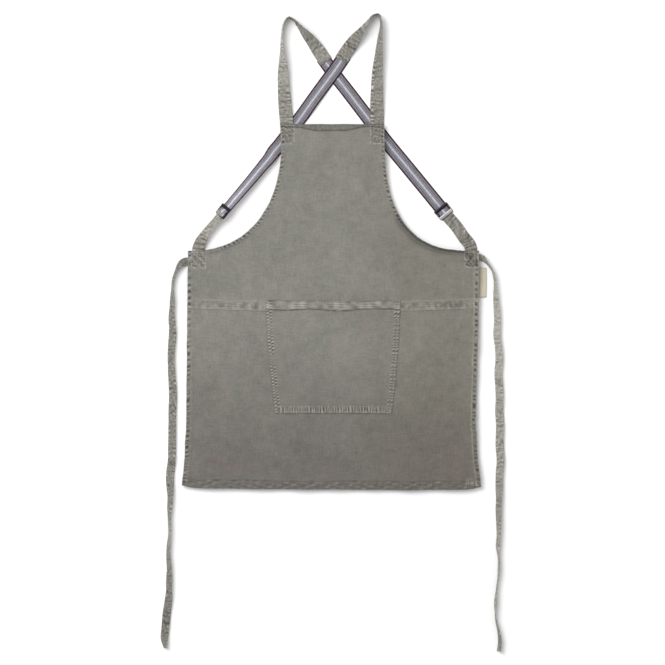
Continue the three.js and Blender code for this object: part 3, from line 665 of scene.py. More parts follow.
def cut_points(edges, step, spacing, boxes=()):
    """Outline of a panel, then rows of points beside each hem and an even grid inside them."""
    outline = np.concatenate([line["points"][:-1] for line in edges])
    beside = []
    for line in edges:
        depth = line["hem"]["depth"]
        normals = inward_normals(line["points"])
        past_fold = (depth - 0.6, depth + 0.6, depth + 2.0, depth + 4.5)
        for away in (0.5, 1.1, *np.arange(2.2, depth - 1.5, step), *past_fold):
            row = line["points"] + normals * away
            clear = np.min([along_edge(other["points"], *row.T)[0] for other in edges], axis=0)
            beside.append(row[(clear > 0.9 * away) & inside(outline, *row.T)])
    low, high = outline.min(axis=0), outline.max(axis=0)
    grid = grid_points(*low, *high, spacing)
    clear = np.min([along_edge(line["points"], *grid.T)[0] - line["hem"]["depth"] for line in edges], axis=0)
    grid = grid[(clear > 5.5) & inside(outline, *grid.T)]
    for x0, x1, y0, y1 in boxes:
        fine = grid_points(x0 - 3, y0 - 3, x1 + 3, y1 + 3, step)
        clear = np.min([along_edge(line["points"], *fine.T)[0] for line in edges], axis=0)
        beside.append(fine[(clear > step) & inside(outline, *fine.T)])
    return outline, thinned(np.concatenate([*beside, grid]), 0.45 * step)


def grid_points(x0, y0, x1, y1, spacing):
    """An even grid of points in staggered rows."""
    rows = []
    for k, y in enumerate(np.arange(y0, y1, spacing * math.sqrt(3) / 2)):
        x = np.arange(x0 + (k % 2) * spacing / 2, x1, spacing)
        rows.append(np.column_stack([x, np.full(len(x), y)]))
    return np.concatenate(rows)


def thinned(points, least):
    """Points with none closer to an earlier one than about the least distance."""
    taken = set()
    kept = []
    for k, (i, j) in enumerate(np.floor(points / least).astype(int).tolist()):
        if any((i + a, j + b) in taken for a in (-1, 0, 1) for b in (-1, 0, 1)):
            continue
        taken.add((i, j))
        kept.append(k)
    return points[kept]


def cloth_panel(name, edges, relief, step, spacing, boxes=()):
    """A closed cloth panel: two relief sheets that meet along the outline."""
    outline, filling = cut_points(edges, step, spacing, boxes)
    plan = [Vector(p) for p in np.concatenate([outline, filling]).tolist()]
    count = len(outline)
    rim = [(k, (k + 1) % count) for k in range(count)]
    flat, _, triangles, source, _, _ = delaunay_2d_cdt(plan, rim, [], 1, 1e-6)
    flat = np.array([tuple(p) for p in flat])
    on_rim = np.array([any(k < count for k in origin) for origin in source])
    shape = relief(edges, flat[:, 0], flat[:, 1])
    upper = np.column_stack([flat, shape["top"]])
    upper[on_rim, 2] = (shape["top"][on_rim] + shape["bottom"][on_rim]) / 2
    below = np.where(on_rim, np.arange(len(flat)), len(flat) + np.cumsum(~on_rim) - 1)
    lower = np.column_stack([flat, shape["bottom"]])[~on_rim]
    faces = []
    for a, b, c in triangles:
        (ax, ay), (bx, by), (cx, cy) = flat[a], flat[b], flat[c]
        if (bx - ax) * (cy - ay) - (by - ay) * (cx - ax) < 0:
            b, c = c, b
        faces.append((a, b, c))
        faces.append((int(below[a]), int(below[c]), int(below[b])))
    points = np.concatenate([upper, lower])
    wear_and_shading = np.concatenate([shape["wear_and_shading"], shape["wear_and_shading"][~on_rim]])
    return make_object(name, points, faces, wear_and_shading)


# Straps

def catmull_rom(points, k, part):
    """A point on the centripetal curve through the points, between point k and the next."""
    p1, p2 = points[k], points[k + 1]
    p0 = points[k - 1] if k else 2 * p1 - p2
    p3 = points[k + 2] if k + 2 < len(points) else 2 * p2 - p1
    g0, g1, g2 = (math.sqrt(np.linalg.norm(b - a)) for a, b in ((p0, p1), (p1, p2), (p2, p3)))
    t1 = ((p1 - p0) / g0 - (p2 - p0) / (g0 + g1) + (p2 - p1) / g1) * g1
    t2 = ((p2 - p1) / g1 - (p3 - p1) / (g1 + g2) + (p3 - p2) / g2) * g1
    c2 = 3 * (p2 - p1) - 2 * t1 - t2
    c3 = 2 * (p1 - p2) + t1 + t2
    return p1 + part * (t1 + part * (c2 + part * c3))


def evened(values, spread):
    """Values smoothed along a strap over a number of stations, with the ends kept."""
    reach = int(3 * spread)
    kernel = bump(np.arange(-reach, reach + 1), 0, spread)
    padded = np.concatenate([np.full(reach, values[0]), values, np.full(reach, values[-1])])
    return np.convolve(padded, kernel / kernel.sum(), "valid")


def half_height(width, thick, lean):
    turn = np.radians(lean)
    return (np.abs(np.sin(turn)) * width + np.abs(np.cos(turn)) * thick) / 2


def leaning_frame(along, lean):
    """Across and normal directions of stations that lean over from flat."""
    turn = np.radians(np.asarray(lean, float))[..., None]
    up = np.array([0.0, 0.0, 1.0])
    side = np.stack([-along[..., 1], along[..., 0], np.zeros_like(along[..., 0])], axis=-1)
    side = side / np.linalg.norm(side, axis=-1, keepdims=True)
    return side * np.cos(turn) + up * np.sin(turn), up * np.cos(turn) - side * np.sin(turn)


def buckle_frame(side):
    place = BUCKLE_PLACE[side]
    along = np.array([*place["along"], 0.0])
    along /= np.linalg.norm(along)
    across, normal = leaning_frame(along, place["lean"])
    middle = np.array([*place["at"], half_height(BUCKLE["width"], 0, place["lean"])])
    return {"middle": middle, "along": along, "across": across, "normal": normal, "lean": place["lean"]}


def on_buckle(side, rows, width, thick):
    """Route rows on a buckle's centre line from rows of distance along and height over its plane."""
    base = buckle_frame(side)
    route = []
    for distance, over in rows:
        centre = base["middle"] + base["along"] * distance + base["normal"] * thick / 2
        lift = centre[2] - half_height(width, thick, base["lean"])
        route.append((centre[0], centre[1], base["lean"], lift, over))
    return tuple(route)


def stations(route, width, thick, step, spread, roll=0.0, stray=None):
    """Centres and directions of a strap's stations; it rolls into a trough where it stands on edge."""
    rows = np.array([(*row, 0.0, 0.0)[:5] for row in route], float)
    path = rows[:, :2]
    spots, columns = [], []
    for k in range(len(rows) - 1):
        pieces = max(1, int(round(np.linalg.norm(path[k + 1] - path[k]) / step)))
        last = k == len(rows) - 2
        for part in np.linspace(0, 1, pieces + 1)[: pieces + 1 if last else pieces]:
            spots.append(catmull_rom(path, k, part))
            columns.append(rows[k, 2:] + (rows[k + 1, 2:] - rows[k, 2:]) * part)
    spots, columns = np.array(spots), np.array(columns)
    lean, lift, over = (evened(columns[:, k], spread) for k in range(3))
    if stray:
        travel = np.arange(len(spots)) * step
        loose = smooth(travel, 40, 110)
        sway = stray["sway"] * loose * wander(stray["seed"], 45, 130)(travel)
        spots = spots + inward_normals(spots) * sway[:, None]
        lean = lean + stray["twist"] * loose * wander(stray["seed"] + 1, 35, 110)(travel)
    along = np.gradient(spots, axis=0)
    across, normal = leaning_frame(along, lean)
    bend = 1e-4 + roll * smooth(np.abs(np.sin(np.radians(lean))), 0.55, 0.98)
    chord = width * np.sinc(bend / (2 * math.pi))
    centre = np.column_stack([spots, lift + half_height(chord, thick, lean)]) + normal * over[:, None]
    run = np.concatenate([[0], np.cumsum(np.linalg.norm(np.diff(centre, axis=0), axis=1))])
    return {"centre": centre, "across": across, "normal": normal, "run": run, "width": width, "thick": thick,
            "bend": bend}


def strap_points(line, share, offset):
    """Points of a strap at shares of its width from the middle, and offsets off its face."""
    bend = line["bend"][:, None]
    radius = line["width"] / bend
    sideways = (radius + offset) * np.sin(share * bend)
    outward_by = (radius + offset) * np.cos(share * bend) - radius * (1 + np.cos(bend / 2)) / 2
    return (line["centre"][:, None, :] + line["across"][:, None, :] * sideways[..., None]
            + line["normal"][:, None, :] * outward_by[..., None])


def strap_mesh(name, line, relief, columns=15):
    """A closed flat strap over its stations; relief gives the height off its plane and the wash."""
    across = np.sin(np.linspace(-math.pi / 2, math.pi / 2, columns))
    across = 0.5 * (0.35 * across + 0.65 * np.linspace(-1, 1, columns))
    half = line["thick"] / 2 * np.sqrt(1 - np.abs(2 * across) ** 10)
    run, width, count = line["run"], line["width"], len(line["run"])
    u, v = np.meshgrid(across, run)
    rise, wear_and_shading = relief(u, v, run[-1])
    loop = [*range(columns), *range(columns - 2, 0, -1)]
    face = np.array([1] * columns + [-1] * (columns - 2))
    offset = rise[:, loop] + face * half[loop]
    points = strap_points(line, u[:, loop], offset)
    points[..., 2] = np.maximum(points[..., 2], 0.05)
    size = len(loop)
    faces = [(a, d, c, b) for a, b, c, d in ring_faces(count, size)]
    for j, turn in ((0, 1), (count - 1, -1)):
        cap = [j * size + i for i in range(size)]
        pairs = [(cap[0], cap[1], cap[-1])]
        pairs += [(cap[i], cap[i + 1], cap[size - i - 1], cap[size - i]) for i in range(1, columns - 2)]
        pairs += [(cap[columns - 2], cap[columns - 1], cap[columns])]
        faces += [quad[::turn] for quad in pairs]
    uv = np.column_stack([(u[:, loop] + 0.5).ravel() * width * MM, v[:, loop].ravel() * MM])
    return make_object(name, points.reshape(-1, 3), faces, wear_and_shading[:, loop].ravel(), uv)


def strap_row(line, relief, share, face):
    """A row of stitching along a strap at a share of its width, on one of its faces."""
    run = line["run"]
    keep = (run >= ROW_END) & (run <= run[-1] - ROW_END)
    u = np.full((len(run), 1), share)
    rise, _ = relief(u, run[:, None], run[-1])
    offset = rise + face * line["thick"] / 2 * math.sqrt(1 - abs(2 * share) ** 10)
    points = strap_points(line, u, offset)[keep, 0]
    points[:, 2] = np.maximum(points[:, 2], 0.6 * TOPSTITCH["thread"])
    return points


def shading(v, shades):
    """Lighter and darker stretches along a strap: painted light and shade at its loops, folds and twists."""
    return sum(shade * bump(v, middle, spread) for middle, spread, shade in shades)


def strap_relief(seed, sewing, tone, shades, marks=(1.0, 1.0)):
    """Puckers drawn up by the two rows of a sewn strap, and a creased, mottled face."""
    drift, gain, skew = wander(seed, 25, 80), wander(seed + 1, 14, 50), wander(seed + 2, 50, 140)
    other, spots = wander(seed + 3, 25, 80), wander(seed + 4, 6, 22)
    pitch, fade = sewing["pitch"], 14.0

    def relief(u, v, length):
        second = smooth(u, -0.3, 0.3)
        slope = 9 * u * skew(v)
        phase_first = (v + slope) / pitch + 0.3 * drift(v)
        phase_second = (v - slope) / (pitch * 1.07) + 0.3 * other(v)
        ridge = np.sin(2 * math.pi * phase_first) * (1 - second) + np.sin(2 * math.pi * phase_second) * second
        strength = np.clip(0.75 + 0.55 * gain(v, 30 * u), 0.0, 1.4)
        ends = 0.15 + 0.85 * smooth(v, 0, fade) * smooth(length - v, 0, fade)
        beside = 0.35 + 0.65 * bump(np.abs(u), 0.36, 0.16)
        groove = STRAP_GROOVE * bump(np.abs(u), sewing["row"], 0.03)
        rise = sewing["height"] * ridge * strength * beside * ends - groove
        crest, hollow = smooth(ridge, 0.1, 0.95), smooth(-ridge, 0.1, 0.95)
        marked = sewing["wear"] * strength * (marks[0] + (marks[1] - marks[0]) * second)
        wear_and_shading = marked * (crest * bump(np.abs(u), 0.37, 0.13) - 0.6 * hollow * beside)
        wear_and_shading = wear_and_shading + 0.16 * spots(v, 40 * u) + 0.15 * bump(np.abs(u), 0.49, 0.05) + tone
        # Cross creases: sunk into the strap and painted dark as the shade in them
        fold = np.sin(2 * math.pi * (v / sewing["fold"] + 0.35 * other(v) + 0.5 * u * skew(v)))
        fold = sewing["crease"] * smooth(fold, 0.25, 0.95) * np.clip(0.8 + 0.5 * gain(v, 8 * u), 0.1, 1.4)
        return rise - fold, wear_and_shading - fold + shading(v, shades)

    return relief


def webbing_relief(shades):
    """Webbing, with no puckers but with stretches of painted light where it leans towards the light."""
    def relief(u, v, length):
        return np.zeros_like(u), np.zeros_like(u) + shading(v, shades)

    return relief


# Metal

def ring_sweep(outline, radius_across, radius_up, sides=10):
    """A closed bar around a closed outline, as points and faces in the outline's own plane."""
    ahead = np.roll(outline, -1, axis=0) - np.roll(outline, 1, axis=0)
    ahead /= np.linalg.norm(ahead, axis=1)[:, None]
    out = np.column_stack([ahead[:, 1], -ahead[:, 0]])
    angles = np.linspace(0, 2 * math.pi, sides, endpoint=False)
    points = []
    for spot, normal in zip(outline, out):
        for angle in angles:
            sideways = radius_across * math.copysign(abs(math.cos(angle)) ** 0.6, math.cos(angle))
            upward = radius_up * math.copysign(abs(math.sin(angle)) ** 0.6, math.sin(angle))
            points.append((*(spot + normal * sideways), upward))
    return np.array(points), ring_faces(len(outline), sides, closed=True)


def rounded_outline(x0, x1, y0, y1, corner, steps=6):
    """A rectangle with rounded corners, walked anticlockwise."""
    turns = np.linspace(0, math.pi / 2, steps)
    spots = []
    for cx, cy, start in ((x1 - corner, y0 + corner, -90), (x1 - corner, y1 - corner, 0),
                          (x0 + corner, y1 - corner, 90), (x0 + corner, y0 + corner, 180)):
        for turn in turns + math.radians(start):
            spots.append((cx + corner * math.cos(turn), cy + corner * math.sin(turn)))
    return np.array(spots)


def slab(x0, x1, y0, y1, corner, low, high, crown):
    """A plate with rounded corners, softened edges and a slightly crowned top."""
    levels = ((0.5, low), (0.0, low + 0.4), (0.0, high - 0.5), (0.35, high - 0.12), (0.9, high))
    rings = []
    for inset, z in levels:
        ring = rounded_outline(x0 + inset, x1 - inset, y0 + inset, y1 - inset, max(corner - inset, 0.3))
        rings.append(np.column_stack([ring, np.full(len(ring), z)]))
    middle_y = (y0 + y1) / 2
    for share in (0.75, 0.5, 0.25):
        ring = rings[4].copy()
        ring[:, 1] = middle_y + (ring[:, 1] - middle_y) * share
        ring[:, 2] = high + crown * (1 - share**2)
        rings.append(ring)
    size = len(rings[0])
    faces = ring_faces(len(rings), size)
    faces.append(tuple(range(size))[::-1])
    faces.append(tuple((len(rings) - 1) * size + i for i in range(size)))
    return np.concatenate(rings), faces


def on_plane(points, side):
    """Points from a buckle's own plane, x across, y along and z off it, to the frame."""
    base = buckle_frame(side)
    return (base["middle"] + points[:, :1] * base["across"] + points[:, 1:2] * base["along"]
            + points[:, 2:] * base["normal"])


def joined(*parts):
    """One list of points and faces from several."""
    points, faces = [], []
    for own_points, own_faces in parts:
        shift = sum(len(p) for p in points)
        points.append(own_points)
        faces += [tuple(k + shift for k in face) for face in own_faces]
    return np.concatenate(points), faces


def outward(piece):
    """Turns a closed mesh's faces outwards."""
    work = bmesh.new()
    work.from_mesh(piece.data)
    bmesh.ops.recalc_face_normals(work, faces=work.faces)
    work.to_mesh(piece.data)
    work.free()
    return piece


def buckle_pieces(side):
    """The dark frame of a slide buckle and its bright lower bar."""
    half, end = HALF_BUCKLE, BUCKLE_END
    base, thick = BUCKLE["base"], BUCKLE["thick"]
    inset = BUCKLE["rail"] / 2
    frame_line = rounded_outline(-half + inset, half - inset, -end + 1.6, end - inset, 3.0)
    rails = ring_sweep(frame_line, inset, thick / 2)
    rails = (rails[0] + np.array([0, 0, base + thick / 2]), rails[1])
    upper = slab(-half - 0.6, half + 0.6, *BUCKLE_BARS["upper"], 2.2, base, base + thick + 0.3, 0.3)
    plates = [rails, upper]
    if side == "left":
        for *place, corner, rise, crown in LEFT_PLATES:
            plates.append(slab(*place, corner, base, base + thick + rise, crown))
    dark = joined(*plates)
    bright_end = half - BRIGHT_CUT[side]
    bright = slab(-half + 0.5, bright_end, *BUCKLE_BARS["bright"], 1.6, base + 0.2, base + thick + 0.6, 0.15)
    frame_piece = outward(make_object(f"buckle_frame_{side}", on_plane(dark[0], side), dark[1]))
    bar_piece = outward(make_object(f"buckle_bar_{side}", on_plane(bright[0], side), bright[1]))
    return frame_piece, bar_piece


# Nodes

def wire(tree, node, sockets):
    """Sets a node's inputs to values, or links them to the outputs of others."""
    for key, value in sockets.items():
        if isinstance(value, bpy.types.NodeSocket):
            tree.links.new(value, node.inputs[key])
        else:
            node.inputs[key].default_value = value
    return node


def put(tree, kind, sockets=None, **settings):
    """A new node with its settings and inputs."""
    node = tree.nodes.new(kind)
    for key, value in settings.items():
        setattr(node, key, value)
    return wire(tree, node, sockets or {})


def new_sockets(tree, inputs, outputs):
    """Sockets of a group from rows of name and kind, and its nodes for what is given and what results."""
    for in_out, rows in (("INPUT", inputs), ("OUTPUT", outputs)):
        for name, kind in rows:
            tree.interface.new_socket(name, in_out=in_out, socket_type=f"NodeSocket{kind}")
    return put(tree, "NodeGroupInput").outputs, put(tree, "NodeGroupOutput")


# Stitching

def stitch_tree():
    """Stitches along every line of a mesh of lines, each a short thread lying along its row."""
    tree = bpy.data.node_groups.new("stitch_rows", "GeometryNodeTree")
    given, result = new_sockets(
        tree,
        (("Rows", "Geometry"), ("Pitch", "Float"), ("Stitch Length", "Float"), ("Thread Width", "Float"),
         ("Seed", "Int"), ("Thread", "Material")),
        (("Stitches", "Geometry"),),
    )
    curve = put(tree, "GeometryNodeMeshToCurve", {"Mesh": given["Rows"]}).outputs["Curve"]
    even = put(tree, "GeometryNodeResampleCurve", {"Curve": curve, "Length": given["Pitch"]}, mode="LENGTH")
    spots = put(tree, "GeometryNodeCurveToPoints", {"Curve": even.outputs["Curve"]}, mode="EVALUATED").outputs
    ball = put(tree, "GeometryNodeMeshUVSphere", {"Segments": 6, "Rings": 4, "Radius": 0.5}).outputs["Mesh"]
    lying = put(tree, "GeometryNodeTransform", {"Geometry": ball, "Rotation": (0, math.pi / 2, 0)})
    width = given["Thread Width"]
    size = put(tree, "ShaderNodeCombineXYZ", {"X": given["Stitch Length"], "Y": width, "Z": width}).outputs[0]
    thread = put(tree, "GeometryNodeTransform", {"Geometry": lying.outputs["Geometry"], "Scale": size})
    turn = put(tree, "FunctionNodeAlignRotationToVector", {"Vector": spots["Tangent"]}, axis="X")
    chance = put(tree, "FunctionNodeRandomValue", {2: 0.8, 3: 1.15, "Seed": given["Seed"]}, data_type="FLOAT")
    lay = put(tree, "GeometryNodeInstanceOnPoints", {
        "Points": spots["Points"], "Instance": thread.outputs["Geometry"],
        "Rotation": turn.outputs["Rotation"], "Scale": chance.outputs[1],
    })
    real = put(tree, "GeometryNodeRealizeInstances", {"Geometry": lay.outputs["Instances"]})
    coat = put(tree, "GeometryNodeSetMaterial",
               {"Geometry": real.outputs["Geometry"], "Material": given["Thread"]})
    wire(tree, result, {"Stitches": coat.outputs["Geometry"]})
    return tree


def sew(name, rows, kind, thread, tree, seed):
    """A plain mesh of stitches along rows of points in millimetres."""
    points, lines = [], []
    for row in rows:
        start = len(points)
        points += (np.asarray(row) * MM).tolist()
        lines += [(k, k + 1) for k in range(start, start + len(row) - 1)]
    mesh = bpy.data.meshes.new(f"{name}_rows")
    mesh.from_pydata(points, lines, [])
    guide = placed(f"{name}_rows", mesh)
    modifier = guide.modifiers.new("stitches", "NODES")
    modifier.node_group = tree
    values = {"Pitch": kind["pitch"] * MM, "Stitch Length": kind["length"] * MM,
              "Thread Width": kind["thread"] * MM, "Seed": seed, "Thread": thread}
    for item in tree.interface.items_tree:
        if item.name in values and item.in_out == "INPUT":
            modifier[item.identifier] = values[item.name]
    ready = bpy.context.evaluated_depsgraph_get()
    sewn = bpy.data.meshes.new_from_object(guide.evaluated_get(ready), depsgraph=ready)
    sewn.name = name
    guide.modifiers.remove(modifier)
    bpy.data.objects.remove(guide)
    bpy.data.meshes.remove(mesh)
    sewn.shade_smooth()
    return placed(name, sewn)


def on_top(edges, relief, path):
    """A path in plan laid on top of a panel."""
    return np.column_stack([path, relief(edges, *path.T)["top"]])


def hem_rows(edges, relief, trim):
    """The rows of stitching on a panel's hems, cut back where they near another edge."""
    rows = []
    for line in edges:
        others = [other for other in edges if other is not line]
        for away in line["hem"]["rows"]:
            row = line["points"] + inward_normals(line["points"]) * away
            clear = np.min([along_edge(other["points"], *row.T)[0] for other in others], axis=0)
            rows.append(on_top(edges, relief, row[clear > trim]))
    return rows


def box_path(x0, x1, y0, y1):
    """The path of the stitches round a sewn box."""
    return resample(np.array([(x0, y0), (x1, y0), (x1, y1), (x0, y1), (x0, y0)], float), 2.0)


# Materials

def maths(tree, operation, a, b=0.0, c=0.0, clamp=False):
    return put(tree, "ShaderNodeMath", {0: a, 1: b, 2: c}, operation=operation, use_clamp=clamp).outputs[0]


def mixed(tree, share, a, b, blend="MIX", beyond=False):
    """A mix of two colours, which may go past the second one."""
    node = put(tree, "ShaderNodeMix", {0: share, 6: a, 7: b}, data_type="RGBA", blend_type=blend,
               clamp_factor=not beyond)
    return node.outputs[2]


def noise(tree, vector, scale, detail=2.0, rough=0.55):
    sockets = {"Vector": vector, "Scale": scale, "Detail": detail, "Roughness": rough}
    return put(tree, "ShaderNodeTexNoise", sockets).outputs["Fac"]


def stretched(tree, vector, x, y, z=1.0):
    return put(tree, "ShaderNodeVectorMath", {0: vector, 1: (x, y, z)}, operation="MULTIPLY").outputs[0]


def eased(tree, value, start, end):
    """0 at start and 1 at end, eased between them."""
    return put(tree, "ShaderNodeMapRange", {"Value": value, "From Min": start, "From Max": end},
               interpolation_type="SMOOTHSTEP").outputs["Result"]


def grey(tree, light):
    return put(tree, "ShaderNodeCombineColor", {0: light, 1: light, 2: light}).outputs[0]


def bumped(tree, height, strength, distance):
    sockets = {"Strength": strength, "Distance": distance, "Height": height}
    return put(tree, "ShaderNodeBump", sockets).outputs["Normal"]


def canvas_weave():
    """Plain weave with uneven threads: a height for relief and a shade for the yarns."""
    tree = bpy.data.node_groups.new("canvas_weave", "ShaderNodeTree")
    given, result = new_sockets(
        tree, (("Vector", "Vector"), ("Threads", "Float")), (("Height", "Float"), ("Shade", "Float")))
    vector = given["Vector"]
    drift = put(tree, "ShaderNodeTexNoise", {"Vector": vector, "Scale": 60.0, "Detail": 1.0})
    sway = stretched(tree, drift.outputs["Color"], 0.0012, 0.0012, 0.0)
    warped = put(tree, "ShaderNodeVectorMath", {0: vector, 1: sway}, operation="ADD").outputs[0]
    parts = put(tree, "ShaderNodeSeparateXYZ", {0: warped}).outputs
    turns = maths(tree, "MULTIPLY", given["Threads"], math.pi)
    warp = maths(tree, "SINE", maths(tree, "MULTIPLY", parts["X"], turns))
    weft = maths(tree, "SINE", maths(tree, "MULTIPLY", parts["Y"], turns))
    crossing = maths(tree, "MULTIPLY", warp, weft)
    across = noise(tree, stretched(tree, vector, 26.0, 620.0), 1.0)
    down = noise(tree, stretched(tree, vector, 620.0, 30.0), 1.0)
    wire(tree, result, {
        "Height": maths(tree, "MULTIPLY_ADD", crossing, 0.5, 0.5),
        "Shade": maths(tree, "MULTIPLY", maths(tree, "ADD", across, down), 0.5),
    })
    return tree


def wear_and_shading_colour():
    """Colour of garment-washed cloth: blotched colour, worn crests and dark hollows, with painted light mixed
    in towards the worn colour and painted shade towards the deep one.
    """
    tree = bpy.data.node_groups.new("wear_and_shading_colour", "ShaderNodeTree")
    given, result = new_sockets(
        tree,
        (("Vector", "Vector"), ("ClothColour", "Color"), ("WornAndLit", "Color"), ("DeepAndShade", "Color"), ("WearAndShading", "Float"),
         ("Yarn", "Float"), ("Blotch", "Float")),
        (("Color", "Color"), ("Roughness", "Float")),
    )
    vector = given["Vector"]
    wide = maths(tree, "SUBTRACT", noise(tree, vector, 8.0, 3.0), 0.5)
    close = maths(tree, "SUBTRACT", noise(tree, vector, 42.0, 3.0, 0.65), 0.5)
    fleck = maths(tree, "SUBTRACT", noise(tree, vector, 240.0, 2.0, 0.6), 0.5)
    yarn = maths(tree, "SUBTRACT", given["Yarn"], 0.5)
    parts = maths(tree, "MULTIPLY_ADD", wide, 0.8, maths(tree, "MULTIPLY", close, 0.95))
    parts = maths(tree, "MULTIPLY_ADD", fleck, 0.9, parts)
    parts = maths(tree, "MULTIPLY", parts, given["Blotch"])
    light = maths(tree, "ADD", maths(tree, "MULTIPLY_ADD", yarn, 0.8, parts), 1.0)
    cloth_colour = mixed(tree, 1.0, given["ClothColour"], grey(tree, light), "MULTIPLY")
    hue = noise(tree, vector, 21.0)
    warm = maths(tree, "MULTIPLY", maths(tree, "SUBTRACT", hue, 0.52), 3.0, clamp=True)
    cool = maths(tree, "MULTIPLY", maths(tree, "SUBTRACT", 0.48, hue), 3.0, clamp=True)
    cloth_colour = mixed(tree, warm, cloth_colour, mixed(tree, 1.0, cloth_colour, (1.075, 0.985, 0.985, 1), "MULTIPLY"))
    cloth_colour = mixed(tree, cool, cloth_colour, mixed(tree, 1.0, cloth_colour, (0.975, 1.01, 0.975, 1), "MULTIPLY"))
    worn = maths(tree, "MINIMUM", maths(tree, "MAXIMUM", given["WearAndShading"], 0.0), MOST_WORN)
    deep_and_shade = maths(tree, "MULTIPLY", given["WearAndShading"], -1.0, clamp=True)
    cloth = mixed(tree, worn, cloth_colour, given["WornAndLit"], beyond=True)
    wire(tree, result, {
        "Color": mixed(tree, deep_and_shade, cloth, given["DeepAndShade"]),
        "Roughness": maths(tree, "MULTIPLY_ADD", close, 0.2, 0.9),
    })
    return tree


def new_material(name):
    material = bpy.data.materials.new(name)
    material.use_nodes = True
    tree = material.node_tree
    return material, tree, tree.nodes["Principled BSDF"]


def cloth_material(name, groups, cloth_colour, worn, deep_and_shade, threads, blotch, coords, low=None):
    """Washed cloth; coords are Object for panels and UV for straps, and low is the colour at the foot, which
    the body darkens towards.
    """
    material, tree, shader = new_material(name)
    spot = put(tree, "ShaderNodeTexCoord").outputs
    weave = put(tree, "ShaderNodeGroup", {"Vector": spot[coords], "Threads": threads},
                node_tree=groups["weave"]).outputs
    if low is not None:
        parts = put(tree, "ShaderNodeSeparateXYZ", {0: spot["Object"]}).outputs
        # The body darkens towards the foot, and on the right takes a darker, warmer tint: painted shade with
        # a warmer hue
        cloth_colour = mixed(tree, eased(tree, parts["Y"], FALL_FROM, HEM_LINE * MM), cloth_colour, low)
        tint = mixed(tree, eased(tree, parts["X"], TINT_FROM, TINT_TO), (1, 1, 1, 1), RIGHT_TINT)
        cloth_colour = mixed(tree, 1.0, cloth_colour, tint, "MULTIPLY")
    wear_and_shading = put(tree, "ShaderNodeAttribute", attribute_name="wear_and_shading").outputs["Fac"]
    sockets = {"Vector": spot["Object"], "ClothColour": cloth_colour, "WornAndLit": worn, "DeepAndShade": deep_and_shade, "WearAndShading": wear_and_shading,
               "Yarn": weave["Shade"], "Blotch": blotch}
    cloth = put(tree, "ShaderNodeGroup", sockets, node_tree=groups["wear_and_shading"]).outputs
    wire(tree, shader, {
        "Base Color": cloth["Color"], "Roughness": cloth["Roughness"],
        "Normal": bumped(tree, weave["Height"], 0.35, 0.0004),
        "Specular IOR Level": 0.25, "Sheen Weight": 0.12, "Sheen Roughness": 0.6,
    })
    return material


def ramp(tree, value, stops):
    """A colour ramp from rows of position and colour."""
    node = put(tree, "ShaderNodeValToRGB", {0: value})
    stop_list = node.color_ramp.elements
    for stop, (position, colour) in zip(stop_list, (stops[0], stops[-1])):
        stop.position = position
        stop.color = (*colour, 1)
    for position, colour in stops[1:-1]:
        stop_list.new(position).color = (*colour, 1)
    return node.outputs["Color"]


def webbing_material(groups):
    """Striped webbing: dark selvedges, lilac and blue-grey stripes, and a pale centre line."""
    material, tree, shader = new_material("striped_webbing")
    spot = put(tree, "ShaderNodeTexCoord").outputs["UV"]
    parts = put(tree, "ShaderNodeSeparateXYZ", {0: spot}).outputs
    share = maths(tree, "DIVIDE", parts["X"], WEBBING_WIDTH * MM)
    from_middle = maths(tree, "ABSOLUTE", maths(tree, "MULTIPLY_ADD", share, 2.0, -1.0))
    pale, mist, slate = (0.42, 0.42, 0.465), (0.235, 0.235, 0.27), (0.135, 0.134, 0.16)
    mauve, lilac, plum = (0.08, 0.066, 0.08), (0.225, 0.196, 0.22), (0.022, 0.006, 0.012)
    stops = (
        (0.0, pale), (0.05, pale), (0.16, mist), (0.22, mist), (0.25, slate), (0.32, slate),
        (0.35, mist), (0.43, mist), (0.46, mauve), (0.54, mauve), (0.57, lilac), (0.66, lilac),
        (0.69, mauve), (0.74, mauve), (0.76, lilac), (0.785, lilac), (0.805, plum), (1.0, plum),
    )
    stripes = ramp(tree, from_middle, stops)
    yarn = noise(tree, stretched(tree, spot, 1500.0, 60.0), 1.0)
    speck = noise(tree, stretched(tree, spot, 420.0, 300.0), 1.0, 1.0)
    light = maths(tree, "MULTIPLY_ADD", maths(tree, "ADD", yarn, speck), 1.3, -0.3)
    # Painted light: the attribute lightens the webbing where it leans towards the light
    wear_and_shading = put(tree, "ShaderNodeAttribute", attribute_name="wear_and_shading").outputs["Fac"]
    light = maths(tree, "MULTIPLY", light, maths(tree, "ADD", wear_and_shading, 1.0))
    weave = put(tree, "ShaderNodeGroup", {"Vector": spot, "Threads": 1600.0},
                node_tree=groups["weave"]).outputs
    wire(tree, shader, {
        "Base Color": mixed(tree, 1.0, stripes, grey(tree, light), "MULTIPLY"),
        "Roughness": maths(tree, "MULTIPLY_ADD", yarn, 0.15, 0.5),
        "Normal": bumped(tree, weave["Height"], 0.4, 0.0003),
        "Specular IOR Level": 0.1,
    })
    return material


def metal_material(name, colour, dull, rough):
    """Polished metal with faint rubbed patches."""
    material, tree, shader = new_material(name)
    spot = put(tree, "ShaderNodeTexCoord").outputs["Object"]
    rub = noise(tree, spot, 260.0, 3.0)
    scratch = noise(tree, stretched(tree, spot, 3000.0, 120.0, 120.0), 1.0)
    wire(tree, shader, {
        "Base Color": mixed(tree, rub, colour, dull),
        "Roughness": maths(tree, "MULTIPLY_ADD", scratch, 0.16, rough),
        "Metallic": 1.0,
    })
    return material


def thread_material(name, colour, pale):
    """Cotton sewing thread with light and dark twists."""
    material, tree, shader = new_material(name)
    spot = put(tree, "ShaderNodeTexCoord").outputs["Object"]
    twist = noise(tree, spot, 900.0, 1.0)
    wire(tree, shader, {"Base Color": mixed(tree, twist, colour, pale), "Roughness": 0.8})
    return material


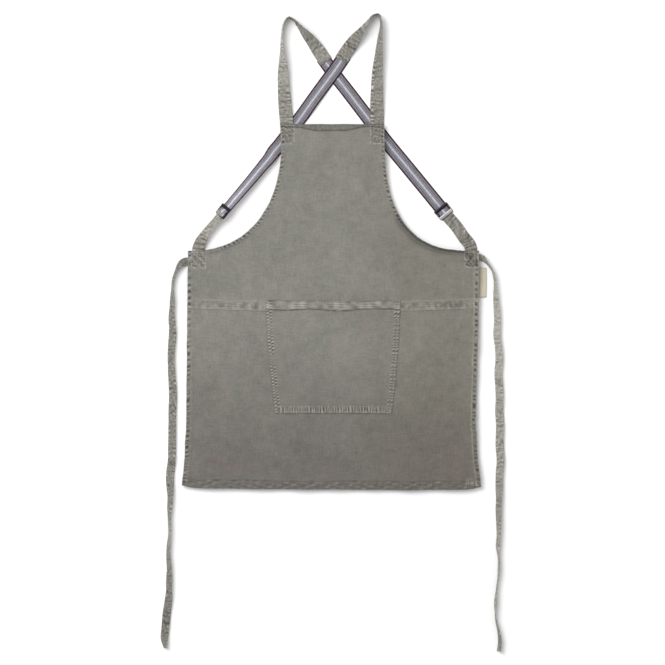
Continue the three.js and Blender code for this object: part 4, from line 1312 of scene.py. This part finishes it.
def label_material():
    """Cream cotton tape with fine ribs across it."""
    material, tree, shader = new_material("cream_tape")
    spot = put(tree, "ShaderNodeTexCoord").outputs
    ribs = put(tree, "ShaderNodeTexWave", {"Vector": spot["UV"], "Scale": 190.0, "Distortion": 0.6},
               bands_direction="X").outputs["Fac"]
    blotch = noise(tree, spot["Object"], 90.0, 3.0)
    wire(tree, shader, {
        "Base Color": mixed(tree, blotch, (0.48, 0.437, 0.34, 1), (0.56, 0.517, 0.405, 1)),
        "Normal": bumped(tree, ribs, 0.3, 0.0003),
        "Roughness": 0.85,
    })
    return material


def floor_material():
    """A pale floor, all but even."""
    material, tree, shader = new_material("pale_floor")
    spot = put(tree, "ShaderNodeTexCoord").outputs["Object"]
    wire(tree, shader, {
        "Base Color": mixed(tree, noise(tree, spot, 3.0), (0.88, 0.88, 0.88, 1), (0.9, 0.9, 0.9, 1)),
        "Roughness": 0.9,
        "Specular IOR Level": 0.1,
    })
    return material


# Building the apron

def dress(piece, material, node):
    """Gives a piece its material and body, and hides the CAD part of the node that it stands for."""
    piece.data.materials.append(material)
    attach(piece, "root")
    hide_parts(node)


def stitched(name, rows, kind, look, thread, seed):
    """Stitching as a piece of its own."""
    sewing = sew(name, rows, kind, look[thread], look["stitches"], seed)
    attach(sewing, "root")
    return sewing


def make_panel(name, node, edges, relief, mesh_steps, look, seed, trim=6.0, boxes=()):
    """A hemmed panel of cloth and its stitching."""
    piece = cloth_panel(name, edges, relief, *mesh_steps, boxes)
    dress(piece, look["canvas"], node)
    rows = hem_rows(edges, relief, trim)
    rows += [on_top(edges, relief, box_path(*box)) for box in boxes]
    return piece, stitched(f"{name}_stitching", rows, TOPSTITCH, look, "thread", seed)


def make_panels(look):
    upper, skirt = upper_edges(BODY_STEPS[0]), skirt_edges(BODY_STEPS[0])
    pocket = pocket_edges(POCKET_STEPS[0])
    piece, sewing = make_panel("bib_and_waist", "upper_panel", upper, upper_relief, BODY_STEPS, look, 1,
                               boxes=SEWN_BOXES.values())

    piece, sewing = make_panel("skirt", "skirt_panel", skirt, skirt_relief, BODY_STEPS, look, 2)

    piece, sewing = make_panel("patch_pocket", "pocket", pocket, pocket_relief, POCKET_STEPS, look, 3,
                               trim=2.0)
    paths = [np.linspace((x0, y), (x1, y), 12) for x0, x1 in TACK_X for y in TACK_Y]
    tacks = [on_top(pocket, pocket_relief, path) for path in paths]
    bars = stitched("patch_pocket_bartacks", tacks, BARTACK, look, "pale_thread", 4)


def make_strap(kind, side, route, relief, look, row, seed, **bends):
    """A strap on the floor, with a row of stitching near each edge of both faces where it is sewn."""
    width, thick, step, spread, material, slot = STRAP_KINDS[kind]
    name = f"{kind}_{side}_cloth"
    line = stations(route, width, thick, step, spread, **bends)
    piece = strap_mesh(name, line, relief)
    dress(piece, look[material], f"{kind}_{side}")
    sewing = []
    if row:
        paths = [strap_row(line, relief, share, face) for share in (-row, row) for face in (1, -1)]
        sewing = [stitched(f"{name}_stitching", paths, TOPSTITCH, look, "thread", seed)]


def make_straps(look):
    for k, side in enumerate(SIDES):
        seed = 400 + 50 * k
        relief = strap_relief(seed, STRAP_SEWING, STRAP_TONE[side], STRAP_SHADES[side], STRAP_MARKS[side])
        make_strap("shoulder_strap", side, SHOULDER_ROUTES[side], relief, look, STRAP_SEWING["row"], seed,
                   roll=LOOP_ROLL)
        route = WEBBING_ROUTES[side] + on_buckle(side, BUCKLE_WEAVE, WEBBING_WIDTH, WEBBING)
        make_strap("webbing", side, route, webbing_relief(WEBBING_SHADES[side]), look, None, seed)
        route = on_buckle(side, TAB_START, TAB_WIDTH, STRAP) + TAB_ROUTES[side]
        relief = strap_relief(seed + 10, TAB_SEWING, TAB_TONE[side], TAB_SHADES[side])
        make_strap("hip_tab", side, route, relief, look, TAB_SEWING["row"], seed + 10)
        relief = strap_relief(seed + 20, TIE_SEWING, TIE_TONE[side], TIE_SHADES[side])
        make_strap("waist_tie", side, TIE_ROUTES[side], relief, look, TIE_SEWING["row"], seed + 20,
                   stray={"seed": seed + 30, **TIE_STRAY})


def make_fittings(look):
    for side in SIDES:
        dark, bright = buckle_pieces(side)
        dress(dark, look["dark_metal"], f"buckle_{side}")
        dress(bright, look["bright_metal"], f"buckle_{side}")
    line = stations(LABEL_ROUTE, LABEL_HEIGHT, LABEL, 1.0, 3)
    tape = strap_mesh("side_label_tape", line, label_relief, 31)
    dress(tape, look["label"], "side_label")


def label_relief(u, v, length):
    """A slight curl across the label."""
    return 0.35 * np.cos(2 * math.pi * u) * v / length, np.zeros_like(u)


def make_stage(look):
    corners = [(x * HALF_FLOOR, y * HALF_FLOOR, 0) for x, y in ((-1, -1), (1, -1), (1, 1), (-1, 1))]
    plane = bpy.data.meshes.new("floor")
    plane.from_pydata(corners, [], [(0, 1, 2, 3)])
    floor = placed("floor", plane)
    floor.data.materials.append(look["floor"])

    key = bpy.data.lights.new("key", "AREA")
    key.shape, key.size, key.energy = "DISK", KEY["size"], KEY["watts"]
    lamp = placed("key", key)
    lamp.location = KEY["at"]
    lamp.rotation_euler = (-Vector(KEY["at"])).to_track_quat("-Z", "Y").to_euler()

    world = bpy.data.worlds.new("studio")
    bpy.context.scene.world = world
    world.use_nodes = True
    sky = world.node_tree.nodes["Background"]
    sky.inputs["Color"].default_value = (1, 1, 1, 1)
    sky.inputs["Strength"].default_value = AMBIENT

    camera = bpy.data.cameras.new("camera")
    camera.lens = camera.sensor_width * CAMERA_HEIGHT / (IMAGE_PIXELS * PIXEL)
    camera.clip_end = 4 * CAMERA_HEIGHT
    eye = placed("camera", camera)
    eye.location = (*PICTURE_CENTRE, CAMERA_HEIGHT)
    bpy.context.scene.camera = eye
    bpy.context.scene.view_settings.view_transform = "Standard"


CLOTH_GROUPS = {"weave": canvas_weave(), "wear_and_shading": wear_and_shading_colour()}
LOOK = {
    "stitches": stitch_tree(),
    # Each worn colour takes real wear and painted light, and each deep colour dark hollows and painted shade
    "canvas": cloth_material(
        "washed_canvas", CLOTH_GROUPS, cloth_colour=(0.183, 0.1778, 0.1585, 1), worn=(0.34, 0.325, 0.29, 1),
        deep_and_shade=(0.05, 0.046, 0.04, 1), low=(0.1275, 0.1165, 0.1055, 1), threads=900.0, blotch=0.5,
        coords="Object",
    ),
    "strap": cloth_material(
        "washed_strap_canvas", CLOTH_GROUPS, cloth_colour=(0.196, 0.19, 0.166, 1), worn=(0.405, 0.394, 0.352, 1),
        deep_and_shade=(0.06, 0.056, 0.048, 1), threads=1000.0, blotch=0.35, coords="UV",
    ),
    "webbing": webbing_material(CLOTH_GROUPS),
    "dark_metal": metal_material("black_nickel", (0.012, 0.01, 0.018, 1), (0.032, 0.026, 0.036, 1), 0.3),
    "bright_metal": metal_material("bright_nickel", (0.4, 0.39, 0.385, 1), (0.29, 0.28, 0.275, 1), 0.3),
    "thread": thread_material("grey_thread", (0.15, 0.146, 0.125, 1), (0.3, 0.29, 0.25, 1)),
    "pale_thread": thread_material("pale_thread", (0.25, 0.245, 0.215, 1), (0.46, 0.45, 0.4, 1)),
    "label": label_material(),
    "floor": floor_material(),
}

make_stage(LOOK)
make_panels(LOOK)
make_straps(LOOK)
make_fittings(LOOK)
